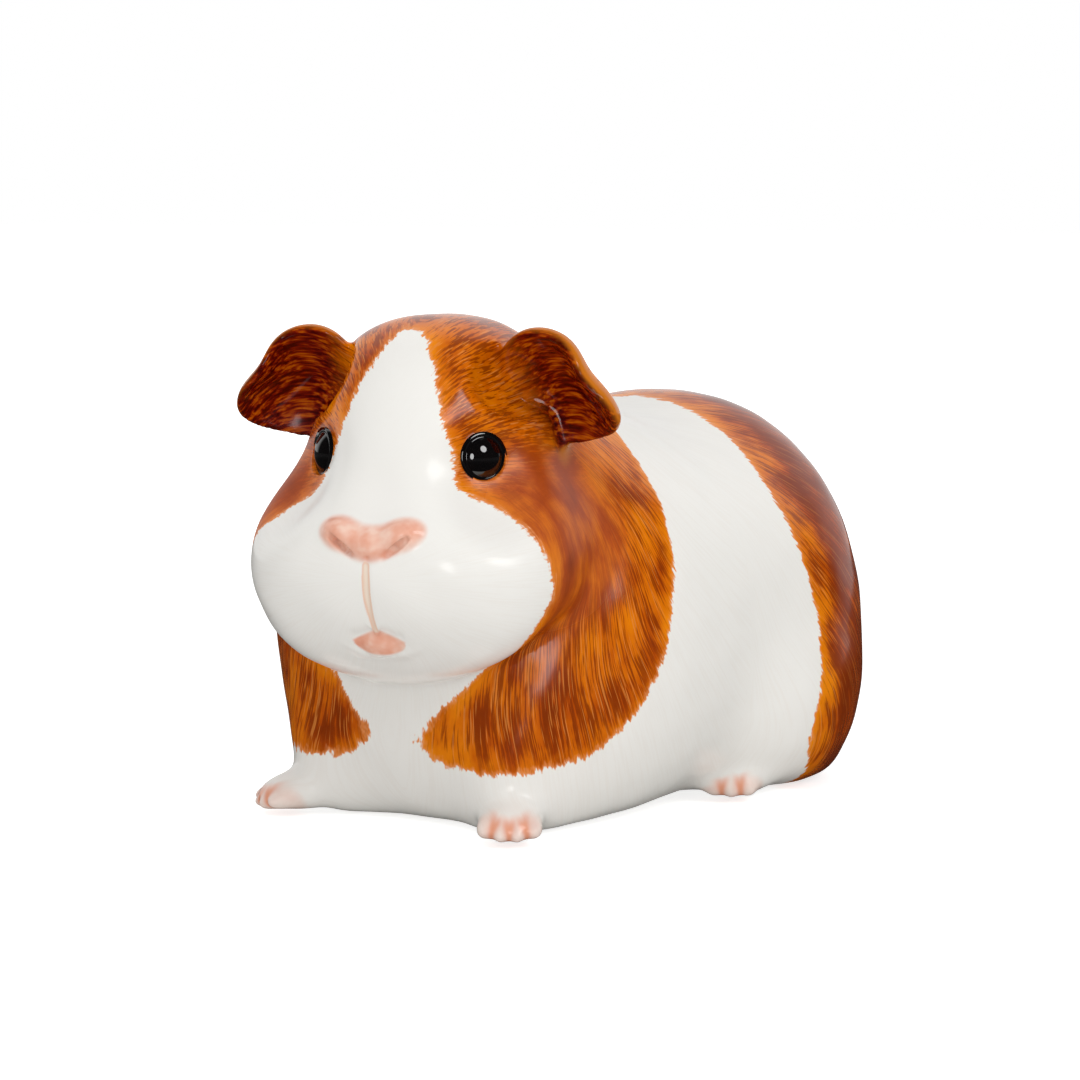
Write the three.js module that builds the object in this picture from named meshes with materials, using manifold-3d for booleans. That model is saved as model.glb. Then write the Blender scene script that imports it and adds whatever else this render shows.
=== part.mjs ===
// A glazed earthenware guinea pig that crouches with its head turned to its left.
// Millimetres, +Z up. The nose points to -Y, the animal's left is +X, and the
// flat underside lies at z = 0. The form is a soft union of ellipsoids, one for
// each mass of the body, drawn straight and symmetric. It is parted into named
// pieces, and the head is turned last, by one smooth bend of every vertex.

import * as THREE from 'three';
import { mergeVertices } from 'three/addons/utils/BufferGeometryUtils.js';
import Module from 'manifold-3d';

const wasm = await Module();
wasm.setup();

// ---------------------------------------------------------------- dimensions

const GAP = 0.3; // clearance that parts two neighbouring pieces

// The masses: centre, half sizes, squareness (2 is an ellipsoid) and turn in
// degrees about x, y and z. Paired masses are given for the left side.
const RUMP = { at: [0, 45.5, 34.5], half: [53, 31.5, 58.5], square: 2.15 };
const LOIN = { at: [0, 7, 42], half: [53, 53.5, 47], square: 2.4 };
const SHOULDERS = { at: [0, -29, 40], half: [51, 35.5, 49], square: 2.2 };
const NAPE = { at: [0, -27, 73], half: [31, 32, 29] };
const SKULL = { at: [0, -52.5, 80.5], half: [27, 25.5, 34.5], square: 2.55 };
const MUZZLE = { at: [0, -69, 61], half: [26.5, 25, 19.5] };
const CHEEK = { at: [16.5, -67.5, 61.5], half: [20.5, 23, 22.5] };
const BRIDGE = { at: [0, -67.5, 80], half: [19, 17, 24] };
const CHIN = { at: [0, -62.5, 52.5], half: [22, 20.5, 18.7] };
const THIGH = { at: [38, 30.5, 22.5], half: [18.5, 26, 21.5] };
const FORELEG = { at: [23.5, -43.5, 11], half: [12.5, 16, 18.5], turn: [14, 18, 0] };

// Hollows that are pressed into the head: before each ear and round each eye.
const TEMPLE = { at: [25, -62, 102.5], half: [9, 16, 9.5], turn: [0, 0, -22] };
const ORBIT = { at: [29.9, -87.8, 84.9], half: [16, 16, 16] };

// How widely two masses, or a mass and a hollow, melt into each other.
const BLEND = { trunk: 26, head: 16, chin: 5, limb: 14, paw: 8, floor: 10, temple: 4, orbit: 8 };
const UNDER_CHIN = { z: [42, 56], y: [-56, -46] }; // the chin's blend grows to the head's across these
const FLOOR_SINK = 0.8; // how far the rounded belly would bulge below the floor

// Paws: an ellipsoid pad with a fan of toes, turned outwards.
const FORE_PAW = {
  at: [32, -59.2, 5], half: [8.6, 9, 6.4], splay: 34, toes: 4, toe: [2.4, 4.6, 3.4],
};
const HIND_PAW = {
  at: [39, 18, 4.2], half: [8, 10.5, 6], splay: 30, toes: 3, toe: [2.6, 4.8, 3.4],
};
const TOE_STEP = 4; // from one toe to the next
const TOE_REACH = 0.66; // share of the pad's half length at which the toes sit
const TOE_ARC = 0.7; // how far the outer toes draw back
const TOE_DROP = 1.5; // below the pad's middle
const TOE_FAN = 8; // degrees between toes

// Ears: a cupped leaf. Its outline's radius and its rim's sweep backwards are a mean
// and waves round the ear; a wave has a number of crests, a size and a crest's angle.
const EAR = {
  at: [29.4, -59.2, 98.6], turn: [27.4, 0, -19.3], thick: 3.8, bow: 6,
  outline: {
    mean: 13.8, waves: [[1, 1, -2], [2, 1.6, -51], [3, 0.85, -18], [4, 0.35, -21], [5, 0.3, -22]],
  },
  sweep: { mean: 0.2, waves: [[2, 1.2, 91], [3, 1.1, -50]] },
};
const RIM_FULLNESS = 0.6; // power that fills the leaf's section out towards the rim
const LEAF_END = 1.2; // past this share of the outline the leaf's curve runs on straight

// Eyes, nose and lip.
const EYE = { at: [15.1, -71.9, 85.4], radius: 6.8 };
const ALA = { at: [6.6, -90.6, 69], half: [5.6, 3.9, 3.7], turn: [0, -14, 14] };
const SEPTUM = { at: [0, -91, 67.1], half: [5.8, 4, 4] };
const NOSTRIL = { at: [6.2, -94.6, 67.2], half: [3.9, 2.2, 0.75], turn: [0, -44, 10] };
const LIP = { at: [0, -85.3, 45.9], half: [5.6, 3.6, 3.2], turn: [-38, 0, 0] };

// Where the pieces part: the head lies inside a ball, the legs inside ellipsoids.
const NECK = { at: [0, -73, 84], half: [53, 53, 53] };
const FORELEG_REGION = { at: [29, -56, 8], half: [16.5, 19, 19] };
const HINDLEG_REGION = { at: [50, 25, 6], half: [22, 31, 33] };
const OVERRUN = 9; // how far a rough piece runs past its parting face
const CHEST_FRONT = -66; // nothing of the trunk lies in front of this

// Points from which the whole outside of a piece can be seen.
const HEART = { trunk: [0, 10, 46], head: [0, -55, 70], foreleg: [30, -55, 7], hindleg: [42, 20, 9] };
const RAY = { stride: 2, halvings: 12, far: 120, head: 80 }; // how rays look for the outside
const BELOW = { size: [400, 400, 100], at: [0, 0, -50] }; // everything under the floor

// The head's turn about a vertical axis, growing along a slanting neck line.
const HEAD_TURN = THREE.MathUtils.degToRad(16);
const TURN_AXIS_Y = -30;
const NECK_LINE = { y: -46, z: 62, lean: 0.7, from: -22, to: 16 };

// Facets around and along: the two great masses, the limbs and ears, the balls
// that part them, the small round pieces and the toes.
const GREAT = { round: 32, along: 21 };
const LIMB = { round: 20, along: 12 };
const PARTING = { round: 16, along: 10 };
const SMALL = { round: 10, along: 7 };
const TOE = { round: 8, along: 6 };

const COLOUR = { white: 0xe9e4de, brown: 0xa8460e, pink: 0xe3a891, black: 0x060506 };

// --------------------------------------------------------------------- forms
// A form is a function of a point that is negative inside, about a distance.

function softUnion(a, b, width) {
  const near = Math.max(width - Math.abs(a - b), 0) / width;
  return Math.min(a, b) - (near ** 3 * width) / 6;
}

function softOverlap(a, b, width) {
  return -softUnion(-a, -b, width);
}

// The frame of a mass: a point of the body, told in the mass's own axes.
function localFrame(at, turn = [0, 0, 0]) {
  const angles = turn.map(THREE.MathUtils.degToRad);
  const inverse = new THREE.Matrix4()
    .makeRotationFromEuler(new THREE.Euler(...angles, 'ZXY'))
    .setPosition(...at)
    .invert();
  const point = new THREE.Vector3();
  return (x, y, z) => point.set(x, y, z).applyMatrix4(inverse);
}

function mass({ at, half, square = 2, turn }) {
  const toLocal = localFrame(at, turn);
  return (x, y, z) => {
    const p = toLocal(x, y, z);
    const shares = [p.x / half[0], p.y / half[1], p.z / half[2]].map(Math.abs);
    const size = shares.reduce((sum, s) => sum + s ** square, 0) ** (1 / square);
    const slopes = shares.map((s, i) => (s / size) ** (square - 1) / half[i]);
    return (size - 1) / Math.hypot(...slopes);
  };
}

// The toes of a paw, fanned out in front of its pad.
function toesOf({ at, half, splay, toes, toe }) {
  const toBody = new THREE.Matrix4()
    .makeRotationZ(THREE.MathUtils.degToRad(splay))
    .setPosition(...at);
  return Array.from({ length: toes }, (_, i) => {
    const step = i - (toes - 1) / 2;
    const reach = -half[1] * TOE_REACH + TOE_ARC * step * step;
    const place = new THREE.Vector3(step * TOE_STEP, reach, -TOE_DROP).applyMatrix4(toBody);
    return { at: place.toArray(), half: toe, turn: [0, 0, splay + step * TOE_FAN] };
  });
}

// A mean and its waves, at an angle.
function wavy({ mean, waves }, angle) {
  const past = (degrees) => angle - THREE.MathUtils.degToRad(degrees);
  const wave = ([crests, size, crest]) => size * Math.cos(crests * past(crest));
  return waves.reduce((sum, each) => sum + wave(each), mean);
}

// The middle of the ear's leaf at an angle and a share of the way to its rim: how far
// out and how far back it lies, and its slope.
function leafMiddle(angle, share) {
  const edge = wavy(EAR.outline, angle);
  const drop = EAR.bow - wavy(EAR.sweep, angle);
  return { out: edge * share, back: EAR.bow - drop * share ** 2, slope: (2 * drop * share) / edge };
}

// The hollow in front of the ear ends at the middle of the leaf.
function templeHollow() {
  const toLocal = localFrame(EAR.at, EAR.turn);
  const hollow = mass(TEMPLE);
  return (x, y, z) => {
    const p = toLocal(x, y, z);
    const angle = Math.atan2(p.z, p.x);
    const share = Math.hypot(p.x, p.z) / wavy(EAR.outline, angle);
    return Math.max(hollow(x, y, z), p.y - leafMiddle(angle, Math.min(share, LEAF_END)).back);
  };
}

function joined(masses, width) {
  const forms = masses.map(mass);
  return (x, y, z) => forms.map((form) => form(x, y, z)).reduce((a, b) => softUnion(a, b, width));
}

const trunkMasses = joined([RUMP, LOIN, SHOULDERS, NAPE], BLEND.trunk);
const headMasses = joined([SKULL, MUZZLE, CHEEK, BRIDGE, CHIN], BLEND.head);
const limbs = [THIGH, FORELEG].map(mass);
const pads = [FORE_PAW, HIND_PAW].map(({ at, half, splay }) => mass({ at, half, turn: [0, 0, splay] }));
const temple = templeHollow();
const orbit = mass(ORBIT);

// How widely the head melts into the trunk: less under the chin.
function neckBlend(y, z) {
  const high = THREE.MathUtils.smoothstep(z, ...UNDER_CHIN.z);
  const back = THREE.MathUtils.smoothstep(y, ...UNDER_CHIN.y);
  return THREE.MathUtils.lerp(BLEND.head, BLEND.chin, (1 - high) * (1 - back));
}

// The whole animal without its ears and toes. The right side mirrors the left.
function animal(x, y, z) {
  const side = Math.abs(x);
  let d = softUnion(trunkMasses(side, y, z), headMasses(side, y, z), neckBlend(y, z));
  d = softOverlap(d, -orbit(side, y, z), BLEND.orbit);
  d = softOverlap(d, -temple(side, y, z), BLEND.temple);
  for (const form of limbs) d = softUnion(d, form(side, y, z), BLEND.limb);
  for (const form of pads) d = softUnion(d, form(side, y, z), BLEND.paw);
  return softOverlap(d, -z - FLOOR_SINK, BLEND.floor);
}

// -------------------------------------------------------------------- solids

function toManifold(geometry) {
  const bare = geometry.clone();
  bare.deleteAttribute('normal');
  bare.deleteAttribute('uv');
  const merged = mergeVertices(bare, 1e-4);
  const solid = new wasm.Mesh({
    numProp: 3,
    vertProperties: new Float32Array(merged.attributes.position.array),
    triVerts: new Uint32Array(merged.index.array),
  });
  return new wasm.Manifold(solid);
}

// How far a ray from a centre runs before it leaves a form.
function rayLength(form, centre, ray, reach) {
  const outside = (far) => {
    return form(centre.x + ray.x * far, centre.y + ray.y * far, centre.z + ray.z * far) > 0;
  };
  let inner = 0;
  while (inner < reach && !outside(inner + RAY.stride)) inner += RAY.stride;
  let outer = inner + RAY.stride;
  for (let halving = 0; halving < RAY.halvings; halving += 1) {
    const middle = (inner + outer) / 2;
    if (outside(middle)) outer = middle;
    else inner = middle;
  }
  return inner;
}

// A ball around a centre, each vertex of it moved along its ray to the form.
function cast(form, at, facets, reach = RAY.far) {
  const ball = new THREE.SphereGeometry(1, facets.round, facets.along);
  const centre = new THREE.Vector3(...at);
  const position = ball.attributes.position;
  const ray = new THREE.Vector3();
  for (let i = 0; i < position.count; i += 1) {
    ray.fromBufferAttribute(position, i);
    ray.multiplyScalar(rayLength(form, centre, ray, reach)).add(centre);
    position.setXYZ(i, ray.x, ray.y, ray.z);
  }
  return toManifold(ball);
}

// An ellipsoid as a solid, grown by a clearance.
function ellipsoid({ at, half, turn = [0, 0, 0] }, grow = 0, facets = SMALL) {
  const ball = new THREE.SphereGeometry(1, facets.round, facets.along);
  ball.scale(half[0] + grow, half[1] + grow, half[2] + grow);
  const angles = turn.map(THREE.MathUtils.degToRad);
  ball.applyMatrix4(new THREE.Matrix4().makeRotationFromEuler(new THREE.Euler(...angles, 'ZXY')));
  ball.translate(...at);
  return toManifold(ball);
}

// The same mass on the other side of the body.
function mirrored({ at, turn = [0, 0, 0], ...rest }) {
  return { ...rest, at: [-at[0], at[1], at[2]], turn: [turn[0], -turn[1], -turn[2]] };
}

function mirrorSolid(solid) {
  return solid.mirror([1, 0, 0]);
}

// A leg: the part of the animal inside a region, with its toes, down to the floor.
function makeLeg(region, from, foot) {
  const grown = mass({ ...region, half: region.half.map((h) => h + OVERRUN) });
  const rough = cast((x, y, z) => Math.max(animal(x, y, z), grown(x, y, z)), from, LIMB);
  const leg = rough.intersect(ellipsoid(region, 0, PARTING));
  return toesOf(foot).reduce((solid, toe) => solid.add(ellipsoid(toe, 0, TOE)), leg).subtract(underfloor);
}

function box(size, at) {
  return toManifold(new THREE.BoxGeometry(...size).translate(...at));
}

// -------------------------------------------------------------------- pieces

const underfloor = box(BELOW.size, BELOW.at);

function nosePad(grow) {
  return ellipsoid(SEPTUM, grow).add(ellipsoid(ALA, grow)).add(ellipsoid(mirrored(ALA), grow));
}

// The left leaf: a ball whose front and back are pressed onto the leaf's middle.
function makeLeaf() {
  const ball = new THREE.SphereGeometry(1, LIMB.round, LIMB.along);
  const position = ball.attributes.position;
  for (let i = 0; i < position.count; i += 1) {
    const [x, y, z] = [position.getX(i), position.getY(i), position.getZ(i)];
    const angle = Math.atan2(z, x);
    const { out, back, slope } = leafMiddle(angle, Math.hypot(x, z) ** RIM_FULLNESS);
    const off = (Math.sign(y) * Math.abs(y) ** RIM_FULLNESS * EAR.thick) / 2 / Math.hypot(1, slope);
    const reach = out + off * slope;
    position.setXYZ(i, reach * Math.cos(angle), back + off, reach * Math.sin(angle));
  }
  const turn = new THREE.Euler(...EAR.turn.map(THREE.MathUtils.degToRad), 'ZXY');
  ball.applyMatrix4(new THREE.Matrix4().makeRotationFromEuler(turn));
  return toManifold(ball.translate(...EAR.at));
}

function makeHead() {
  const ball = mass({ ...NECK, half: NECK.half.map((h) => h + OVERRUN) });
  const rough = cast((x, y, z) => Math.max(animal(x, y, z), ball(x, y, z)), HEART.head, GREAT);
  return rough
    .intersect(ellipsoid(NECK, 0, PARTING))
    .subtract(nosePad(GAP))
    .subtract(ellipsoid(LIP, GAP))
    .subtract(eyeball(1, GAP))
    .subtract(eyeball(-1, GAP));
}

function eyeball(side, grow) {
  const { radius } = EYE;
  return ellipsoid({ at: [side * EYE.at[0], EYE.at[1], EYE.at[2]], half: [radius, radius, radius] }, grow);
}

function makeTrunk() {
  const ball = mass({ ...NECK, half: NECK.half.map((h) => h - OVERRUN) });
  const body = (x, y, z) => Math.max(animal(x, y, z), -ball(x, y, z), CHEST_FRONT - y);
  const rough = cast(body, HEART.trunk, GREAT);
  const left = [FORELEG_REGION, HINDLEG_REGION];
  const regions = [...left, ...left.map(mirrored)];
  const parted = regions.reduce((solid, region) => solid.subtract(ellipsoid(region, GAP, PARTING)), rough);
  return parted.subtract(ellipsoid(NECK, GAP, PARTING)).subtract(underfloor);
}

function makeNose() {
  return nosePad(0).subtract(ellipsoid(NOSTRIL)).subtract(ellipsoid(mirrored(NOSTRIL)));
}

// Turns the head: each vertex goes round the vertical axis by its share.
function bend(position) {
  const rise = Math.sqrt(1 - NECK_LINE.lean ** 2);
  for (let i = 0; i < position.count; i += 1) {
    const x = position.getX(i);
    const y = position.getY(i);
    const along = -NECK_LINE.lean * (y - NECK_LINE.y) + rise * (position.getZ(i) - NECK_LINE.z);
    const angle = HEAD_TURN * THREE.MathUtils.smoothstep(along, NECK_LINE.from, NECK_LINE.to);
    const back = y - TURN_AXIS_Y;
    position.setX(i, x * Math.cos(angle) - back * Math.sin(angle));
    position.setY(i, TURN_AXIS_Y + x * Math.sin(angle) + back * Math.cos(angle));
  }
}

function toMesh(name, solid, colour) {
  const { vertProperties, triVerts } = solid.getMesh();
  const geometry = new THREE.BufferGeometry();
  geometry.setAttribute('position', new THREE.BufferAttribute(new Float32Array(vertProperties), 3));
  geometry.setIndex(new THREE.BufferAttribute(new Uint32Array(triVerts), 1));
  bend(geometry.attributes.position);
  geometry.computeVertexNormals();
  const glaze = new THREE.MeshStandardMaterial({ color: colour, roughness: 0.12, metalness: 0 });
  const mesh = new THREE.Mesh(geometry, glaze);
  mesh.name = name;
  return mesh;
}

// ------------------------------------------------------------------ assembly

const group = new THREE.Group();

// The ears end a gap short of the head, which is cast along the same rays.
const grownHead = cast((x, y, z) => animal(x, y, z) - GAP, HEART.head, GREAT, RAY.head);
const leaf = makeLeaf();
const foreleg = makeLeg(FORELEG_REGION, HEART.foreleg, FORE_PAW);
const hindleg = makeLeg(HINDLEG_REGION, HEART.hindleg, HIND_PAW);

group.add(
  toMesh('trunk', makeTrunk(), COLOUR.white),
  toMesh('head', makeHead(), COLOUR.white),
  toMesh('nose', makeNose(), COLOUR.pink),
  toMesh('lip', ellipsoid(LIP), COLOUR.pink),
  toMesh('ear_left', leaf.subtract(grownHead), COLOUR.brown),
  toMesh('ear_right', mirrorSolid(leaf).subtract(grownHead), COLOUR.brown),
  toMesh('eye_left', eyeball(1, 0), COLOUR.black),
  toMesh('eye_right', eyeball(-1, 0), COLOUR.black),
  toMesh('foreleg_left', foreleg, COLOUR.white),
  toMesh('foreleg_right', mirrorSolid(foreleg), COLOUR.white),
  toMesh('hindleg_left', hindleg, COLOUR.white),
  toMesh('hindleg_right', mirrorSolid(hindleg), COLOUR.white),
);

export default group;
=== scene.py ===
"""A glazed earthenware guinea pig that crouches with its head turned to its left.

The whole animal but its eyes is one skin of glazed clay. It is worked out in millimetres in a
straight and symmetric pose: the nose points to -Y, the animal's left is +X, the flat base lies
at z = 0. A form is a function of points that is negative inside the clay, about a distance.
Grids cast from inside the form are fused and drawn onto it, painted, and the head is turned
last, as it is in the solids.
"""

import logging
import math
from dataclasses import dataclass
from enum import Enum
from typing import Callable, Sequence

import bmesh
import bpy
import numpy as np
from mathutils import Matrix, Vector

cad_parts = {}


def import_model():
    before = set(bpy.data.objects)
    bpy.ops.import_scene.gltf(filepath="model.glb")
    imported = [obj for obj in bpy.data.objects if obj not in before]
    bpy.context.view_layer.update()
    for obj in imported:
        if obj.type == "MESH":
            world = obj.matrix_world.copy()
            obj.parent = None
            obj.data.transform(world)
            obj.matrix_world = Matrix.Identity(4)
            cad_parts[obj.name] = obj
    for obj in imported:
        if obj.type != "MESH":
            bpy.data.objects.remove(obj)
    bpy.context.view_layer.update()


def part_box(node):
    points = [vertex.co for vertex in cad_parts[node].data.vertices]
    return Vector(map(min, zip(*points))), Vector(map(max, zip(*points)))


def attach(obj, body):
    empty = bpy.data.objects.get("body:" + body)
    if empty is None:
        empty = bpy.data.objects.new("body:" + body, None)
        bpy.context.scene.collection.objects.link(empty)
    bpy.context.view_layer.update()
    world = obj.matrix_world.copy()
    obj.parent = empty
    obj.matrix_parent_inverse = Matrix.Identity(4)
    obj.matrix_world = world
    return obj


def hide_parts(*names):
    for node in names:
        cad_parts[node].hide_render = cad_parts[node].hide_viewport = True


LOG = logging.getLogger("guinea_pig")
MM = 0.001  # metres in a millimetre
BODY = "root"  # the frame's only body
TINY = 1e-6

Array = np.ndarray
Triple = tuple[float, float, float]
Form = Callable[[Array], Array]
Lump = tuple[Array, list[list[int]]]
Knots = tuple[tuple[float, float], ...]
Stops = tuple[tuple[float, str], ...]
Socket = bpy.types.NodeSocket


# ------------------------------------------------------------------------------ arithmetic


def soft_union(first: Array, second: Array, width: float) -> Array:
    """Joins two distances, melting them into each other.

    The smaller distance, less a sixth of the width times the cube of how near the two are.

    Args:
        first: distances to one form.
        second: distances to the other.
        width: how far apart two distances may be and still melt together.

    Returns:
        The distances to both forms as one.
    """
    near = np.maximum(width - np.abs(first - second), 0.0) / width
    return np.minimum(first, second) - near**3 * width / 6.0


def soft_overlap(first: Array, second: Array, width: float) -> Array:
    """The part that two forms share, with a rounded edge."""
    return -soft_union(-first, -second, width)


def fade(low: float, high: float, value: Array) -> Array:
    """Rises smoothly from 0 at low to 1 at high; low may be the larger, for a fall."""
    share = np.clip((value - low) / (high - low), 0.0, 1.0)
    return share * share * (3.0 - 2.0 * share)


@dataclass(frozen=True)
class Rise:
    """A smooth rise from 0 at low to 1 at high, or a fall where low is the larger."""

    low: float
    high: float

    def of(self, value: Array) -> Array:
        """How far each value has risen."""
        return fade(self.low, self.high, value)


def turn_matrix(turn: Triple) -> Array:
    """The turn about z, times the turn about x, times the turn about y.

    Args:
        turn: degrees about x, y and z.

    Returns:
        The three by three matrix.
    """
    x, y, z = np.radians(turn)
    about_x = [[1, 0, 0], [0, np.cos(x), -np.sin(x)], [0, np.sin(x), np.cos(x)]]
    about_y = [[np.cos(y), 0, np.sin(y)], [0, 1, 0], [-np.sin(y), 0, np.cos(y)]]
    about_z = [[np.cos(z), -np.sin(z), 0], [np.sin(z), np.cos(z), 0], [0, 0, 1]]
    return np.array(about_z) @ np.array(about_x) @ np.array(about_y)


def direction(azimuth: float, elevation: float) -> Array:
    """The unit vector to an azimuth, from the front towards the animal's left, and a height."""
    around, up = math.radians(azimuth), math.radians(elevation)
    flat = math.cos(up)
    return np.array([math.sin(around) * flat, -math.cos(around) * flat, math.sin(up)])


def on_left(points: Array) -> Array:
    """Points carried onto the animal's left: each x becomes its own size."""
    return np.column_stack([np.abs(points[:, 0]), points[:, 1:]])


def slope(form: Form, points: Array, step: float = 0.04) -> Array:
    """How a form's distance changes along x, y and z, by central differences.

    Args:
        form: the form.
        points: where its slope is wanted.
        step: how far to either side the distance is taken.

    Returns:
        The slope at each point.
    """
    changes = [form(points + shift) - form(points - shift) for shift in np.eye(3) * step]
    return np.stack(changes, axis=-1) / (2.0 * step)


def closed_faces(rings: int, columns: int) -> list[list[int]]:
    """Faces of a closed grid: rings of points from the top down, then the top and bottom poles.

    Args:
        rings: number of rings between the poles.
        columns: points in a ring.

    Returns:
        Quads between the rings and a fan of triangles at either pole, facing outwards.
    """
    ring, column = np.meshgrid(np.arange(rings - 1), np.arange(columns), indexing="ij")
    right = (column + 1) % columns
    here, below = ring * columns, (ring + 1) * columns
    quads = np.stack([here + column, below + column, below + right, here + right], axis=-1)
    around = np.arange(columns)
    after = (around + 1) % columns
    top = np.stack([np.full(columns, rings * columns), around, after], axis=-1)
    last = (rings - 1) * columns
    bottom = np.stack([np.full(columns, rings * columns + 1), last + after, last + around], axis=-1)
    return quads.reshape(-1, 4).tolist() + top.tolist() + bottom.tolist()


def ball_rays(rings: int, columns: int) -> Array:
    """Unit rays of a closed grid.

    A ray's height is the cosine of its angle from the top; its x and y are the sine of it
    times the cosine and sine of its angle round the axis.

    Args:
        rings: number of rings between the poles.
        columns: rays in a ring.

    Returns:
        The rays, ring by ring from the top down, then those to the two poles.
    """
    from_top, around = np.meshgrid(
        np.pi * np.arange(1, rings + 1) / (rings + 1),
        2.0 * np.pi * np.arange(columns) / columns,
        indexing="ij",
    )
    rays = np.stack(
        [np.sin(from_top) * np.cos(around), np.sin(from_top) * np.sin(around), np.cos(from_top)],
        axis=-1,
    )
    return np.concatenate([rays.reshape(-1, 3), [[0, 0, 1], [0, 0, -1]]])


def cast(form: Form, centre: Triple, rings: int, columns: int, reach: float = 120.0) -> Lump:
    """A closed grid whose points lie where rays from a centre leave a form.

    Each ray is walked in even strides until it is outside; the last stride is then halved
    over and over.

    Args:
        form: the form to be cast.
        centre: a point inside it.
        rings: rings of the grid between its poles.
        columns: points in a ring.
        reach: no ray runs further than this.

    Returns:
        The points and faces of the grid.
    """
    stride = 2.0
    rays = ball_rays(rings, columns)
    inner = np.zeros(len(rays))
    going = np.arange(len(rays))
    while len(going) and inner[going[0]] < reach:
        ahead = inner[going] + stride
        inside = form(centre + rays[going] * ahead[:, None]) <= 0.0
        going = going[inside]
        inner[going] += stride
    outer = inner + stride
    for _ in range(8):
        middle = (inner + outer) / 2.0
        outside = form(centre + rays * middle[:, None]) > 0.0
        outer = np.where(outside, middle, outer)
        inner = np.where(outside, inner, middle)
    return centre + rays * inner[:, None], closed_faces(rings, columns)


def joined(lumps: list[Lump]) -> Lump:
    """Several grids as one.

    Args:
        lumps: points and faces of each.

    Returns:
        All points, and all faces counted from the first of them.
    """
    points, faces, start = [], [], 0
    for lump_points, lump_faces in lumps:
        points.append(lump_points)
        faces += [[start + corner for corner in face] for face in lump_faces]
        start += len(lump_points)
    return np.concatenate(points), faces


def mirror_image(lump: Lump) -> Lump:
    """The same grid on the other side, its faces turned about so that they still face outwards."""
    points, faces = lump
    return points * [-1.0, 1.0, 1.0], [face[::-1] for face in faces]


def to_mesh(name: str, points: Array, faces: list[list[int]]) -> bpy.types.Mesh:
    """A smoothly shaded mesh.

    Args:
        name: its name.
        points: one row for each point.
        faces: the numbers of each face's corners, which turn left seen from outside.

    Returns:
        The mesh.
    """
    mesh = bpy.data.meshes.new(name)
    mesh.from_pydata(points.tolist(), [], faces)
    mesh.shade_smooth()
    mesh.update()
    return mesh


def points_of(mesh: bpy.types.Mesh) -> Array:
    """Reads a mesh's points.

    Args:
        mesh: the mesh.

    Returns:
        One row for each point.
    """
    flat = np.empty(len(mesh.vertices) * 3)
    mesh.vertices.foreach_get("co", flat)
    return flat.reshape(-1, 3)


def place_points(mesh: bpy.types.Mesh, points: Array) -> None:
    """Moves the mesh's points."""
    mesh.vertices.foreach_set("co", points.ravel())
    mesh.update()


def edge_ends(mesh: bpy.types.Mesh) -> tuple[Array, Array]:
    """Reads a mesh's edges.

    Args:
        mesh: the mesh.

    Returns:
        The number of the first point of each edge, and of the second.
    """
    pairs = np.empty(len(mesh.edges) * 2, int)
    mesh.edges.foreach_get("vertices", pairs)
    first, second = pairs.reshape(-1, 2).T
    return first, second


def add_object(mesh: bpy.types.Mesh) -> bpy.types.Object:
    """Puts a mesh into the scene at the origin.

    Args:
        mesh: the mesh, whose name the object takes.

    Returns:
        The object.
    """
    piece = bpy.data.objects.new(mesh.name, mesh)
    bpy.context.scene.collection.objects.link(piece)
    return piece


# ------------------------------------------------------------------------------ clay forms


class Side(Enum):
    """A side of the animal."""

    LEFT = "left"
    RIGHT = "right"


@dataclass(frozen=True)
class Mass:
    """A rounded lump of clay.

    Attributes:
        at: centre.
        half: half sizes along its own axes.
        square: 2 for an ellipsoid, more for a squarer lump.
        turn: degrees about x, y and z.
    """

    at: Triple
    half: Triple
    square: float = 2.0
    turn: Triple = (0.0, 0.0, 0.0)

    def local(self, points: Array) -> Array:
        """Points told in the lump's own axes."""
        return (points - np.array(self.at)) @ turn_matrix(self.turn)

    def distance(self, points: Array) -> Array:
        """About how far points lie outside.

        The size of a point is the root of the sum of its shares of the half sizes, each to
        the power of squareness. The distance is the size less one, over the size's slope.

        Args:
            points: where the distance is wanted.

        Returns:
            The distance at each point, negative inside.
        """
        half = np.array(self.half)
        shares = np.abs(self.local(points)) / half + 1e-9
        size = (shares**self.square).sum(axis=-1) ** (1.0 / self.square)
        slopes = (shares / size[:, None]) ** (self.square - 1.0) / half
        return (size - 1.0) / np.linalg.norm(slopes, axis=-1)

    def grid(self, rings: int, columns: int) -> Lump:
        """A closed grid: unit rays, stretched to the half sizes, turned and put in place.

        Args:
            rings: rings of the grid between its poles.
            columns: points in a ring.

        Returns:
            The points and faces of the grid.
        """
        rays = ball_rays(rings, columns) * np.array(self.half)
        return rays @ turn_matrix(self.turn).T + np.array(self.at), closed_faces(rings, columns)

    def mirrored(self) -> "Mass":
        """The same lump on the other side of the body."""
        (x, y, z), (about_x, about_y, about_z) = self.at, self.turn
        return Mass((-x, y, z), self.half, self.square, (about_x, -about_y, -about_z))


def melted(masses: Sequence[Mass], points: Array, width: float) -> Array:
    """Several lumps melted into one.

    Args:
        masses: the lumps.
        points: where the distance is wanted.
        width: how widely they melt into each other.

    Returns:
        The distance to all of them at each point.
    """
    distance = masses[0].distance(points)
    for mass in masses[1:]:
        distance = soft_union(distance, mass.distance(points), width)
    return distance


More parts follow.
